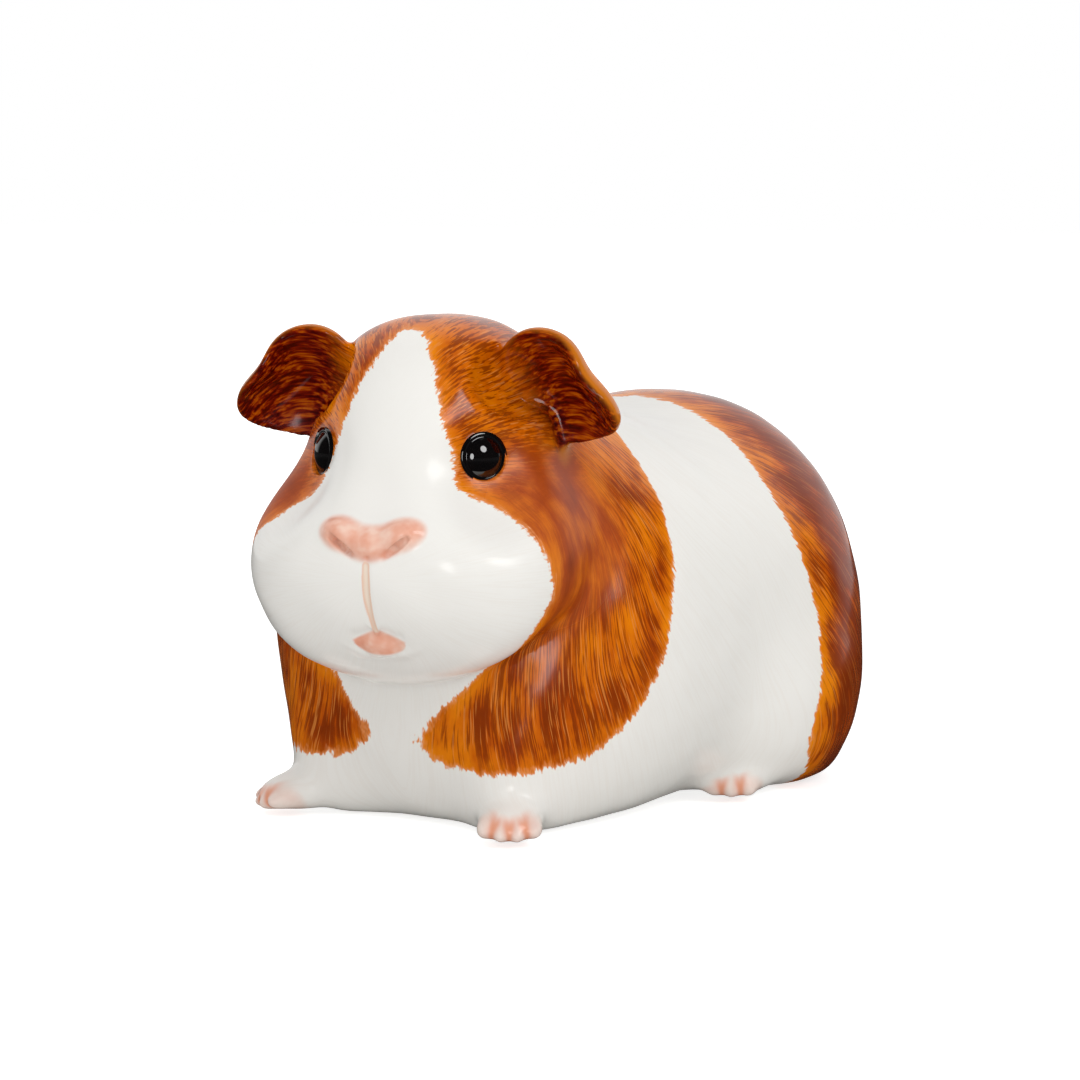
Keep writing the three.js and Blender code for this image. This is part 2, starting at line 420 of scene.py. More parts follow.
@dataclass(frozen=True)
class Crease:
    """A soft groove along a line of points, or a ridge where its depth is negative.

    Attributes:
        line: the points of the line.
        width: distance at which the groove has mostly faded.
        depth: depth at the middle of the groove.
        taper: share of the line over which the groove dies away at its start and at its end.
        measure: how much a way along x, y and z counts; the line need not lie on the clay.
    """

    line: tuple[Triple, ...]
    width: float
    depth: float
    taper: tuple[float, float] = (0.15, 0.15)
    measure: Triple = (1.0, 0.2, 1.0)

    def amount(self, points: Array) -> Array:
        """How much of the groove there is.

        It is 1 on the line, falls as a bell with distance from it and dies at its ends.

        Args:
            points: where it is wanted.

        Returns:
            Its share of the full depth at each point.
        """
        best = np.full(len(points), np.inf)
        along = np.zeros(len(points))
        corners = np.array(self.line)
        for number, (start, end) in enumerate(zip(corners[:-1], corners[1:])):
            run = end - start
            share = np.clip((points - start) @ run / (run @ run), 0.0, 1.0)
            away = np.linalg.norm((points - start - share[:, None] * run) * self.measure, axis=-1)
            closer = away < best
            best = np.where(closer, away, best)
            along = np.where(closer, (number + share) / (len(corners) - 1), along)
        first, last = self.taper
        ends = fade(0.0, max(first, TINY), along) * fade(1.0, 1.0 - max(last, TINY), along)
        return np.exp(-((best / self.width) ** 2)) * ends

    def carve(self, points: Array) -> Array:
        """How far the clay gives way."""
        return self.depth * self.amount(points)


@dataclass(frozen=True)
class Paw:
    """A paw: a pad with a fan of toes, turned outwards.

    Attributes:
        at: middle of the pad.
        half: half sizes of the pad.
        splay: degrees by which the paw turns outwards.
        toes: number of toes.
        toe: half sizes of a toe.
        step: from one toe to the next.
        reach: share of the pad's half length at which the toes sit.
        arc: how far the outer toes draw back.
        drop: how far the toes lie below the pad's middle.
        fan: degrees between toes.
        lift: how far each toe rises with the square of its steps from the middle.
        toe_melt: how widely two toes melt into each other.
        pad_melt: how widely the toes melt into the pad.
        crevice_width: by how much one toe may be nearer than the next, in the paint between them.
        crevice_reach: how far off the toes that paint fades.
    """

    at: Triple
    half: Triple
    splay: float
    toes: int
    toe: Triple
    step: float = 3.2
    reach: float = 0.66
    arc: float = 0.7
    drop: float = 1.5
    fan: float = 8.0
    lift: float = 0.45
    toe_melt: float = 3.4
    pad_melt: float = 3.0
    crevice_width: float = 1.4
    crevice_reach: Rise = Rise(2.6, 0.2)

    @property
    def pad(self) -> Mass:
        """The pad as a lump."""
        return Mass(self.at, self.half, turn=(0.0, 0.0, self.splay))

    def toe_masses(self) -> list[Mass]:
        """The toes as lumps, fanned out in front of the pad.

        Returns:
            One lump for each toe.
        """
        turn = turn_matrix((0.0, 0.0, self.splay))
        masses = []
        for number in range(self.toes):
            step = number - (self.toes - 1) / 2
            back = self.arc * step**2 - self.half[1] * self.reach
            place = np.array([step * self.step, back, self.lift * step**2 - self.drop])
            at = turn @ place + np.array(self.at)
            masses.append(Mass(tuple(at), self.toe, turn=(0.0, 0.0, self.splay + step * self.fan)))
        return masses

    def toe_distance(self, points: Array) -> Array:
        """About how far points lie outside the toes, which melt a little into each other."""
        return melted(self.toe_masses(), points, self.toe_melt)

    def crevice(self, points: Array) -> Array:
        """How far points lie in the crevice between two toes.

        Args:
            points: where it is wanted.

        Returns:
            1 where two toes are equally near, falling as a bell as one of them is nearer.
        """
        toes = np.sort([mass.distance(points) for mass in self.toe_masses()], axis=0)
        between = np.exp(-(((toes[1] - toes[0]) / self.crevice_width) ** 2))
        return between * self.crevice_reach.of(toes[0])

    def distance(self, points: Array) -> Array:
        """About how far points lie outside the paw."""
        return soft_union(self.pad.distance(points), self.toe_distance(points), self.pad_melt)


@dataclass(frozen=True)
class Wavy:
    """A value that goes up and down round a circle.

    Attributes:
        mean: the mean value.
        waves: for each wave its crests in a round, its size and the angle of a crest.
    """

    mean: float
    waves: tuple[tuple[int, float, float], ...]

    def at(self, angle: Array) -> Array:
        """The mean plus, for each wave, its size times the cosine of its phase.

        Args:
            angle: angles round the circle, in radians.

        Returns:
            The value at each angle. A phase is the number of crests times the angle past one.
        """
        return self.mean + sum(
            size * np.cos(crests * (angle - math.radians(crest)))
            for crests, size, crest in self.waves
        )


@dataclass(frozen=True)
class Ear:
    """An ear: a cupped leaf of clay whose rim sweeps forwards and back, told in its own axes.

    Attributes:
        at: middle of the ear.
        turn: degrees about x, y and z.
        outline: radius of the rim round the ear.
        sweep: how far back the rim lies round the ear.
        thick: thickness of the leaf.
        bow: how far back the middle lies.
        temple: the hollow in front of the leaf, which is pressed into the head.
        temple_melt: how widely the hollow's edge is rounded.
        roundness: share of the thickness that is the radius of the rim's section.
        flare: how much a way past the rim counts, since the outline is not a circle.
        held: the share out to the rim past which the leaf bends no further.
        gather: power that gathers the grid's rings towards the rim.
        cup_rim: share out to the rim over which the dark paint ends.
        cup_face: millimetres behind the leaf's middle over which it ends.
        cup_root: the way outwards over which it begins.
        rim_highlight_out: share out to the rim over which the pale rim begins; its lighter orange
            is partly paint and partly a painted highlight on the rolled edge.
        rim_highlight_root: the way outwards over which it begins.
    """

    at: Triple = (29.4, -59.2, 98.6)
    turn: Triple = (27.4, 0.0, -19.3)
    outline: Wavy = Wavy(
        13.8, ((1, 1.0, -2.0), (2, 1.6, -51.0), (3, 0.85, -18.0), (4, 0.35, -21.0), (5, 0.3, -22.0))
    )
    sweep: Wavy = Wavy(0.2, ((2, 1.2, 91.0), (3, 1.1, -50.0)))
    thick: float = 3.8
    bow: float = 6.0
    temple: Mass = Mass((25.0, -62.0, 102.5), (9.0, 16.0, 9.5), turn=(0.0, 0.0, -22.0))
    temple_melt: float = 4.0
    roundness: float = 0.46
    flare: float = 0.85
    held: float = 1.2
    gather: float = 0.6
    cup_rim: Rise = Rise(1.01, 0.95)
    cup_face: Rise = Rise(0.5, -0.6)
    cup_root: Rise = Rise(-12.0, -4.0)
    rim_highlight_out: Rise = Rise(0.86, 0.95)
    rim_highlight_root: Rise = Rise(-10.0, -5.0)

    def local(self, points: Array) -> Array:
        """Points told in the ear's own axes: x outwards, y backwards, z up."""
        return (points - np.array(self.at)) @ turn_matrix(self.turn)

    def leaf(self, points: Array) -> tuple[Array, Array, Array, Array]:
        """Where points lie on the leaf.

        The leaf's middle lies back by the bow, less the share out to the rim squared times
        the difference between bow and sweep.

        Args:
            points: the points.

        Returns:
            The share out to the rim, the radius of the rim there, how far back the point
            lies from the leaf's middle, and the middle's slope outwards.
        """
        place = self.local(points)
        angle = np.arctan2(place[:, 2], place[:, 0])
        edge = self.outline.at(angle)
        out = np.hypot(place[:, 0], place[:, 2]) / edge
        held = np.minimum(out, self.held)
        drop = self.bow - self.sweep.at(angle)
        return out, edge, place[:, 1] - self.bow + drop * held**2, 2.0 * drop * held / edge

    def distance(self, points: Array) -> Array:
        """About how far points lie outside the leaf, whose section is a rounded bar.

        It is the distance from a bar that is thinner all round by the rounding, less the
        rounding; the way off the leaf is told square to its lean.

        Args:
            points: where the distance is wanted.

        Returns:
            The distance at each point, negative inside.
        """
        out, edge, behind, lean = self.leaf(points)
        square = 1.0 / np.hypot(1.0, lean)
        rounding = self.roundness * self.thick
        past = self.flare * (out - 1.0) * edge + rounding
        off = np.abs(behind) * square - (self.thick / 2.0 - rounding)
        corner = np.hypot(np.maximum(past, 0.0), np.maximum(off, 0.0))
        return corner + np.minimum(np.maximum(past, off), 0.0) - rounding

    def hollow(self, distance: Array, points: Array) -> Array:
        """Presses the hollow in front of the leaf into the head."""
        _, _, behind, _ = self.leaf(points)
        space = np.maximum(self.temple.distance(points), behind)
        return soft_overlap(distance, -space, self.temple_melt)

    def grid(self, rings: int, columns: int) -> Lump:
        """A closed grid of the leaf.

        Each unit ray gives an angle round the ear and, by its reach sideways to a power, a
        share of the way to the rim. It lies on the leaf's middle there, moved along the
        middle's normal by half the thickness times its reach backwards to that power.

        Args:
            rings: rings of the grid between its poles.
            columns: points in a ring.

        Returns:
            The points and faces of the grid.
        """
        across, up, back = ball_rays(rings, columns).T
        angle = np.arctan2(up, across)
        share = np.hypot(up, across) ** self.gather
        edge = self.outline.at(angle)
        drop = self.bow - self.sweep.at(angle)
        lean = 2.0 * drop * share / edge
        off = np.sign(back) * np.abs(back) ** self.gather * self.thick / 2.0 / np.hypot(1.0, lean)
        out = edge * share + off * lean
        behind = self.bow - drop * share**2 + off
        local = np.stack([out * np.cos(angle), behind, out * np.sin(angle)], axis=-1)
        faces = [face[::-1] for face in closed_faces(rings, columns)]
        return local @ turn_matrix(self.turn).T + np.array(self.at), faces

    def cup(self, points: Array) -> Array:
        """Where the dark paint of the ear's hollow lies.

        Args:
            points: where it is wanted.

        Returns:
            1 in the outer part of the hollow, 0 on the rim, the back and towards the brow.
        """
        out, _, behind, _ = self.leaf(points)
        across = self.local(points)[:, 0]
        return self.cup_rim.of(out) * self.cup_face.of(behind) * self.cup_root.of(across)

    def rim_paint_and_highlight(self, points: Array) -> Array:
        """1 along the pale rim of the ear, but for the part that joins the head; its lighter orange
        is partly paint and partly a painted highlight on the rolled edge.
        """
        out, _, _, _ = self.leaf(points)
        return self.rim_highlight_out.of(out) * self.rim_highlight_root.of(self.local(points)[:, 0])


@dataclass(frozen=True)
class Eye:
    """An eye: a glossy dome in a shallow socket with a low lid round it.

    Attributes:
        at: centre of the eyeball on the animal's left.
        radius: radius of the eyeball.
        axis: the direction in which it looks.
        opening: radius of the opening in the lid.
        oval: how the opening is stretched sideways and upwards.
        lid: radius of the lid's ring, its thickness and how it melts into the cheek.
        bedding: how much smaller the ball is that cuts the socket, so that the eye sits in clay.
        edge: how widely the socket's edge is rounded.
        cover: how far the collar of the dome reaches under the lid.
        fillet: radius of the hollow between dome and collar.
        line: how far off the opening's edge the dark line fades.
    """

    at: Triple
    radius: float
    axis: Triple
    opening: float = 4.45
    oval: tuple[float, float] = (1.0, 1.02)
    lid: Triple = (5.0, 0.3, 1.2)
    bedding: float = 0.7
    edge: float = 0.5
    cover: float = 0.4
    fillet: float = 0.5
    line: Rise = Rise(0.35, 0.05)

    def frame(self) -> Array:
        """The eye's own axes, as seen by someone who faces it.

        Returns:
            Three rows: sideways, upwards and outwards.
        """
        outwards = np.array(self.axis) / np.linalg.norm(self.axis)
        sideways = np.cross((0.0, 0.0, 1.0), outwards)
        sideways /= np.linalg.norm(sideways)
        return np.stack([sideways, np.cross(outwards, sideways), outwards])

    def place(self, points: Array) -> tuple[Array, Array]:
        """Distance of points from the eye's axis, in the oval's measure, and height on it."""
        local = (points - np.array(self.at)) @ self.frame().T
        return np.hypot(local[:, 0] / self.oval[0], local[:, 1] / self.oval[1]), local[:, 2]

    def open_lid(self, distance: Array, points: Array) -> Array:
        """Adds the lid to the clay and cuts the socket out of it.

        The lid is a ring round the axis that follows the cheek; the socket is the space in
        front of a slightly smaller eyeball, inside the opening.

        Args:
            distance: distances to the head without the eye.
            points: where they are measured, on the animal's left.

        Returns:
            The distances with lid and socket.
        """
        off, height = self.place(points)
        ring, thick, melt = self.lid
        lid = np.where(height > 0.0, np.hypot(off - ring, distance) - thick, thick + melt)
        ball = np.hypot(off, height) - (self.radius - self.bedding)
        space = np.where(height > 0.0, np.minimum(self.opening - off, ball), -1.0)
        return soft_overlap(soft_union(distance, lid, melt), space, self.edge)

    def rim(self, points: Array) -> Array:
        """1 in the dark line just outside the eye's opening."""
        off, height = self.place(points)
        return self.line.of(np.abs(off - self.opening)) * (height > 0.0)

    def dome(self, rings: int, columns: int) -> Lump:
        """The eye as a turned profile.

        The profile follows the eyeball from the middle out, then a small hollow fillet and a
        collar under the lid. It goes round the axis, stretched to the oval.

        Args:
            rings: points of the profile on the eyeball.
            columns: points round the axis.

        Returns:
            The points and faces of the dome.
        """
        collar, collar_drop, root = 1.0, 0.2, 3.0
        out_angle = math.asin((self.opening - self.cover) / self.radius)
        on_ball = np.linspace(0.0, out_angle, rings)[1:]
        ray = np.array([math.sin(out_angle), math.cos(out_angle)])
        hub_off, hub_height = self.radius * ray + self.fillet * ray
        swing = np.linspace(out_angle, -0.2, 8)[1:]
        off = np.concatenate(
            [
                self.radius * np.sin(on_ball),
                hub_off - self.fillet * np.sin(swing),
                [hub_off + collar, hub_off + collar],
            ]
        )
        height = np.concatenate(
            [
                self.radius * np.cos(on_ball),
                hub_height - self.fillet * np.cos(swing),
                [hub_height - collar_drop, hub_height - root],
            ]
        )
        around = 2.0 * np.pi * np.arange(columns) / columns
        points = np.stack(
            [
                np.outer(off, np.cos(around)) * self.oval[0],
                np.outer(off, np.sin(around)) * self.oval[1],
                np.repeat(height[:, None], columns, axis=1),
            ],
            axis=-1,
        )
        poles = np.array([[0.0, 0.0, self.radius], [0.0, 0.0, height[-1]]])
        local = np.concatenate([points.reshape(-1, 3), poles])
        return local @ self.frame() + np.array(self.at), closed_faces(len(off), columns)


@dataclass(frozen=True)
class Face:
    """The small forms of the face.

    Attributes:
        ala: the side of the nose, on the left.
        septum: the middle of the nose.
        nostril: the slanting slit in the side of the nose.
        lip: the small lower lip.
        pads: the whisker pad, on the left.
        philtrum: the groove from the nose to the mouth.
        mouth: the crease from the lip into the cheek.
        ridge: the low ridge below the lip.
        nose_melt: how widely the parts of the nose melt together, and the nose into the face.
        pad_melt: how widely the whisker pads melt into it.
        nostril_edge: how widely the nostril's edge is rounded.
        lip_melt: how widely the lip melts into the face.
    """

    ala: Mass = Mass((6.6, -90.6, 69.0), (5.6, 3.9, 3.7), turn=(0.0, -14.0, 14.0))
    septum: Mass = Mass((0.0, -91.0, 67.1), (5.8, 4.0, 4.0))
    nostril: Mass = Mass((6.4, -94.6, 66.9), (3.7, 2.4, 0.6), turn=(0.0, -38.0, 10.0))
    lip: Mass = Mass((0.0, -85.3, 45.9), (5.6, 4.0, 3.2), turn=(-38.0, 0.0, 0.0))
    pads: Mass = Mass((7.0, -80.0, 55.0), (10.5, 10.5, 8.5))
    philtrum: Crease = Crease(
        ((-0.4, -95.0, 65.0), (-0.3, -93.0, 56.0), (0.0, -88.5, 48.6)),
        width=0.62, depth=0.35, taper=(0.0, 0.0), measure=(1.0, 0.05, 1.0),
    )
    mouth: Crease = Crease(
        ((0.6, -88.5, 48.9), (5.0, -87.0, 47.6), (12.0, -81.5, 49.0)),
        width=1.2, depth=0.6, taper=(0.0, 0.7),
    )
    ridge: Crease = Crease(
        ((10.0, -84.0, 46.0), (5.5, -86.0, 43.0), (0.0, -87.0, 41.6)),
        width=1.2, depth=-0.55, taper=(0.6, 0.0),
    )
    nose_melt: tuple[float, float] = (2.4, 2.2)
    pad_melt: float = 7.0
    nostril_edge: float = 0.9
    lip_melt: float = 0.8

    def nose(self, points: Array) -> Array:
        """About how far points on the left lie outside the nose."""
        ala, septum = self.ala.distance(points), self.septum.distance(points)
        return soft_union(ala, septum, self.nose_melt[0])

    def model(self, distance: Array, points: Array) -> Array:
        """Adds the face's small forms to the clay.

        Args:
            distance: distances to the head without them.
            points: where they are measured, mirrored onto the animal's left.

        Returns:
            The distances with the face modelled.
        """
        distance = soft_union(distance, self.pads.distance(points), self.pad_melt)
        distance = soft_union(distance, self.nose(points), self.nose_melt[1])
        distance = soft_overlap(distance, -self.nostril.distance(points), self.nostril_edge)
        distance = soft_union(distance, self.lip.distance(points), self.lip_melt)
        for crease in (self.philtrum, self.mouth, self.ridge):
            distance = distance + crease.carve(points)
        return distance


@dataclass(frozen=True)
class Turn:
    """The turn of the head about an upright axis, growing along a slanting neck line.

    Attributes:
        degrees: the whole turn.
        axis_y: y of the axis, which stands at x = 0.
        line_y: y of a point in the middle of the neck.
        line_z: its height.
        lean: how much of the neck line runs forwards; the rest of it runs up.
        start: where on the line the turn begins, told from that point.
        end: where it is whole.
    """

    degrees: float = 16.0
    axis_y: float = -30.0
    line_y: float = -46.0
    line_z: float = 62.0
    lean: float = 0.7
    start: float = -22.0
    end: float = 16.0

    def apply(self, points: Array) -> Array:
        """Carries points round the axis, each by its share of the turn.

        Args:
            points: points of the straight pose.

        Returns:
            The points with the head turned.
        """
        rise = math.sqrt(1.0 - self.lean**2)
        along = -self.lean * (points[:, 1] - self.line_y) + rise * (points[:, 2] - self.line_z)
        return self.rotate(points, self.degrees * fade(self.start, self.end, along))

    def rotate(self, points: Array, degrees: Array | float) -> Array:
        """Carries points round the axis.

        Args:
            points: the points.
            degrees: by how much, for all of them or for each.

        Returns:
            The points after it.
        """
        angle = np.radians(degrees)
        x, back = points[:, 0], points[:, 1] - self.axis_y
        return np.stack(
            [
                x * np.cos(angle) - back * np.sin(angle),
                self.axis_y + x * np.sin(angle) + back * np.cos(angle),
                points[:, 2],
            ],
            axis=-1,
        )


def find_eye(turn: Turn) -> Eye:
    """Reads the left eye from the box of its solid, which the head carries round.

    Args:
        turn: the turn of the head.

    Returns:
        The eye in the straight pose, set a little deeper and lower than its solid.
    """
    deeper = np.array([0.35, 0.9, -0.6])
    gaze = direction(46.3, 4.0)
    low, high = (np.array(corner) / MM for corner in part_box("eye_left"))
    centre = turn.rotate(((low + high) / 2.0)[None], -turn.degrees)
    return Eye(tuple(centre[0] + deeper), float(high[2] - low[2]) / 2.0, tuple(gaze))


@dataclass(frozen=True)
class Melt:
    """How widely the masses melt into each other, in millimetres."""

    trunk: float = 26.0
    head: float = 16.0
    chin: float = 5.0
    orbit: float = 12.0
    neck: float = 24.0
    limb: float = 14.0
    paw: float = 8.0
    floor: float = 10.0
    ear: float = 3.0
    base: float = 0.8


@dataclass
class Animal:
    """The clay form of the whole animal, in the straight pose.

    Attributes:
        trunk: rump, loin, shoulders and nape.
        head: skull, muzzle, cheek, bridge of the nose and chin.
        limbs: thigh and foreleg, on the left.
        paws: the left forepaw and hind paw.
        orbit: the hollow round the eye.
        ear: the left ear.
        face: the small forms of the face.
        turn: the turn of the head.
        melt: how widely these melt into each other.
        sink: how far the rounded belly would bulge below the floor.
        inset: how far the skin is drawn in from the solids.
        seam: how wide the rounded valley is where the two sides meet.
        face_front: only points in front of this y can belong to the face.
        chin_height: height over which the chin's narrower melt begins.
        chin_front: y over which it begins.
        eye: the left eye, once it is known.
    """

    trunk: tuple[Mass, ...] = (
        Mass((0.0, 45.5, 34.5), (53.0, 31.5, 58.5), 2.15),
        Mass((0.0, 7.0, 42.0), (53.0, 53.5, 47.0), 2.4),
        Mass((0.0, -29.0, 40.0), (51.0, 35.5, 49.0), 2.2),
        Mass((0.0, -27.0, 73.0), (31.0, 32.0, 29.0)),
    )
    head: tuple[Mass, ...] = (
        Mass((0.0, -52.5, 80.5), (27.0, 25.5, 34.5), 2.55),
        Mass((0.0, -69.0, 61.0), (26.5, 25.0, 19.5)),
        Mass((16.5, -67.5, 61.5), (20.5, 23.0, 22.5)),
        Mass((0.0, -67.5, 80.0), (19.0, 17.0, 24.0)),
        Mass((0.0, -62.5, 52.5), (22.0, 20.5, 18.7)),
    )
    limbs: tuple[Mass, ...] = (
        Mass((38.0, 30.5, 22.5), (18.5, 26.0, 21.5)),
        Mass((23.5, -43.5, 11.0), (12.5, 16.0, 18.5), turn=(14.0, 18.0, 0.0)),
    )
    paws: tuple[Paw, ...] = (
        Paw((30.7, -58.3, 4.0), (7.4, 9.0, 5.4), 34.0, 4, (2.9, 4.8, 2.8), drop=1.8),
        Paw((39.0, 18.0, 4.0), (8.0, 10.5, 5.4), 30.0, 3, (3.0, 4.8, 3.2), step=3.6),
    )
    orbit: Mass = Mass((29.9, -87.8, 84.9), (16.0, 16.0, 16.0))
    ear: Ear = Ear()
    face: Face = Face()
    turn: Turn = Turn()
    melt: Melt = Melt()
    sink: float = 0.8
    inset: float = 0.32
    seam: float = 2.0
    face_front: float = -55.0
    chin_height: Rise = Rise(56.0, 42.0)
    chin_front: Rise = Rise(-46.0, -56.0)
    eye: Eye | None = None

    def one_side(self, points: Array) -> Array:
        """Points mirrored onto the left, with a rounded valley where the sides meet.

        The new x is the root of the sum of the squares of x and the seam.
        """
        return np.column_stack([np.hypot(points[:, 0], self.seam), points[:, 1:]])

    def bare(self, points: Array) -> Array:
        """The animal without ears, face and eyes.

        The head melts widely into the trunk, but under the chin it hardly does.

        Args:
            points: where the distance is wanted.

        Returns:
            The distance at each point, negative inside.
        """
        melt, side = self.melt, self.one_side(points)
        distance = melted(self.trunk, side, melt.trunk)
        under_chin = self.chin_height.of(points[:, 2]) * self.chin_front.of(points[:, 1])
        neck = melt.neck + (melt.chin - melt.neck) * under_chin
        distance = soft_union(distance, melted(self.head, side, melt.head), neck)
        distance = soft_overlap(distance, -self.orbit.distance(side), melt.orbit)
        distance = self.ear.hollow(distance, side)
        for limb in self.limbs:
            distance = soft_union(distance, limb.distance(side), melt.limb)
        for paw in self.paws:
            distance = soft_union(distance, paw.distance(side), melt.paw)
        return soft_overlap(distance, -points[:, 2] - self.sink, melt.floor)

    @staticmethod
    def unevenness(points: Array) -> Array:
        """The slight waves of a surface finished by hand.

        Each wave is the sine of its phase times the cosine of a slower one; a phase grows
        along x, y and z.

        Args:
            points: where it is wanted.

        Returns:
            How far the surface lies in at each point, in millimetres.
        """
        height = 0.05
        waves = (
            (0.21, 0.13, 0.17, 0.4),
            (-0.11, 0.24, 0.09, 1.9),
            (0.16, -0.1, 0.27, 3.1),
            (0.3, 0.27, -0.2, 5.0),
        )
        total = np.zeros(len(points))
        for x, y, z, start in waves:
            phase = points @ np.array([x, y, z]) + start
            total += np.sin(phase) * np.cos(0.7 * phase + points[:, 2] * 0.11)
        return total * height

    def form(self, points: Array) -> Array:
        """The whole skin, drawn in a little so that it stays inside the solids.

        Args:
            points: where the distance is wanted.

        Returns:
            The distance at each point, negative inside.
        """
        mirrored = on_left(points)
        distance = soft_union(self.bare(points), self.ear.distance(mirrored), self.melt.ear)
        front = np.flatnonzero(points[:, 1] < self.face_front)
        shaped = self.face.model(distance[front], mirrored[front])
        if self.eye is not None:
            shaped = self.eye.open_lid(shaped, mirrored[front])
        distance[front] = shaped
        distance = distance + self.unevenness(points) + self.inset
        return soft_overlap(distance, -points[:, 2], self.melt.base)


# ------------------------------------------------------------------------------- paint plan


@dataclass(frozen=True)
class PaintPlan:
    """Where the colours lie on the straight animal.

    The head and shoulders are told by two angles seen from a point inside the neck: round
    the nose's axis, 0 at the top and growing to the animal's left, and away from the nose.
    The rump is told by how far back its edge lies at an angle round the body.

    Attributes:
        neck: the point inside the neck.
        front_edge: where the head's patch begins: the angle round and the angle away.
        rear_edge: where it ends, told in the same way.
        rump_edge: where the rump's patch begins: the angle from the top and y.
        rump_height: height of the axis round which that angle is told.
        hem_height: height at which the head's patch ends above the feet.
        smoothing: degrees over which an edge is averaged.
        bridge_height: height from which the brow's strokes fan out.
        shoulder_centre: y and z from which the strokes fan out behind the cheek.
        loin_centre: y and z about which the rump's strokes run.
        sides_differ: how fast the stroke noise changes from right to left.
        brow_radius: how widely the brow's strokes are spread round the bridge.
        brow_bend: how much they bend as they run out.
        brow_round: how widely they are rounded over the middle of the forehead.
        cheek_radii: how widely the cheek's strokes are spread round the nose and back from it.
        shoulder_radius: how widely the strokes behind the cheek are spread round their centre.
        rump_radius: how widely the rump's strokes are spread round theirs.
        rump_start: where on the brush the rump's strokes begin.
        rump_round: how widely they are rounded over the middle of the back.
        rump_front: y behind which they run.
        slant: share of the way out from the middle by which body strokes slant.
        ear_bend: how much the ear's strokes bend as they run out.
        ear_depth: how much a way backwards counts in them.
        corner_melt: how widely front and rear edge of the head's patch are rounded together.
        hem_melt: how widely they are rounded into the hem.
        ear_margin: how far round the ear the coat's paint surely reaches.
        ear_fall: how fast it thins out past the ear.
        ear_edge: how far off the ear its own paint fades.
        brow_sector: degrees from the top over which the brow's strokes end.
        brow_back: y behind which there are none.
        collar: millimetres past the collar's middle over which the body's strokes begin.
        collar_shift: how far in front of that middle they begin.
        flank: y over which they begin all round.
        fringe: millimetres inside the front edge over which the cheek's strokes end.
        calm_centre: middle of the evenly washed cheek, on the left.
        calm_reach: how far from it the wash fades.
        low_shade_height: height over which the painted shade low on the chest begins.
        low_shade_front: y over which it begins.
        nose_edge: how far off the nose its pink fades.
        nostril_shade_edge: how far off the nostril its dark paint, partly painted shade in the
            slit, fades.
        line_root: how far off the nose the pale line begins.
        line_back: y behind which there is no pale line.
        toe_edge: how far off the toes their blush fades.
        toe_pink: how strong that blush is.
        crevice_pink: how strong it is in the creases between them.
        bare_height: height over which the bare clay ends.
    """

    neck: Triple = (0.0, -30.0, 60.0)
    front_edge: Knots = (
        (-180, 50), (-169, 49), (-160, 46), (-148, 43), (-136, 43), (-115, 37), (-95, 38),
        (-78, 35), (-61, 31), (-48, 28), (-34, 30), (-22, 33), (-15, 38), (-10, 43), (-6, 49),
        (-2, 57), (3, 53), (7, 48), (13, 41), (20, 34), (27, 31), (36, 26), (45, 26), (61, 31),
        (78, 35), (95, 38), (105, 36), (115, 37), (136, 43), (158, 46), (169, 50), (180, 50),
    )
    rear_edge: Knots = (
        (-180, 47), (-170, 53), (-164, 57), (-150, 61), (-141, 67), (-134, 76), (-123, 83),
        (-110, 90), (-90, 96), (-75, 98), (-61, 98), (-30, 99), (0, 103), (30, 99), (61, 98),
        (75, 98), (90, 96), (110, 90), (123, 83), (134, 76), (141, 67), (150, 61), (164, 57),
        (170, 53), (180, 47),
    )
    rump_edge: Knots = (
        (0, 34), (13, 32), (23, 30), (33, 28), (50, 24.5), (58, 24.6), (70, 27), (86, 31), (98, 29),
        (108, 26), (117, 26), (127, 34), (180, 40),
    )
    rump_height: float = 40.0
    hem_height: float = 14.0
    smoothing: float = 4.0
    bridge_height: float = 78.0
    shoulder_centre: tuple[float, float] = (-78.0, 108.0)
    loin_centre: tuple[float, float] = (-40.0, 150.0)
    sides_differ: float = 0.02
    brow_radius: float = 28.0
    brow_bend: float = 0.006
    brow_round: float = 2.0
    cheek_radii: tuple[float, float] = (40.0, 55.0)
    shoulder_radius: float = 70.0
    rump_radius: float = 100.0
    rump_start: float = 60.0
    rump_round: float = 12.0
    rump_front: float = 5.0
    slant: float = 0.5
    ear_bend: float = 0.03
    ear_depth: float = 0.3
    corner_melt: float = 8.0
    hem_melt: float = 5.0
    ear_margin: float = 5.0
    ear_fall: float = 1.5
    ear_edge: Rise = Rise(3.5, 0.5)
    brow_sector: Rise = Rise(75.0, 45.0)
    brow_back: float = -20.0
    collar: Rise = Rise(-4.0, 4.0)
    collar_shift: float = 2.0
    flank: Rise = Rise(-4.0, 0.0)
    fringe: Rise = Rise(-1.0, 1.5)
    calm_centre: Triple = (34.0, -62.0, 68.0)
    calm_reach: Rise = Rise(30.0, 12.0)
    low_shade_height: Rise = Rise(48.0, 22.0)
    low_shade_front: Rise = Rise(0.0, -10.0)
    nose_edge: Rise = Rise(1.0, -0.5)
    nostril_shade_edge: Rise = Rise(0.5, -0.4)
    line_root: Rise = Rise(0.0, 1.0)
    line_back: float = -80.0
    toe_edge: Rise = Rise(1.6, -0.2)
    toe_pink: float = 0.35
    crevice_pink: float = 0.85
    bare_height: Rise = Rise(0.35, 0.1)

    def smooth_curve(self, knots: Knots, at: Array) -> Array:
        """A curve through knots: straight runs, averaged with weights that fall as a cosine.

        Args:
            knots: angle and value of each knot.
            at: the angles at which the curve is wanted.

        Returns:
            The value at each angle.
        """
        where, value = np.array(knots, float).T
        shifts = np.linspace(-self.smoothing, self.smoothing, 9)
        weights = np.cos(shifts / self.smoothing * 1.4)
        total = sum(
            weight * np.interp(at + shift, where, value) for weight, shift in zip(weights, shifts)
        )
        return total / weights.sum()

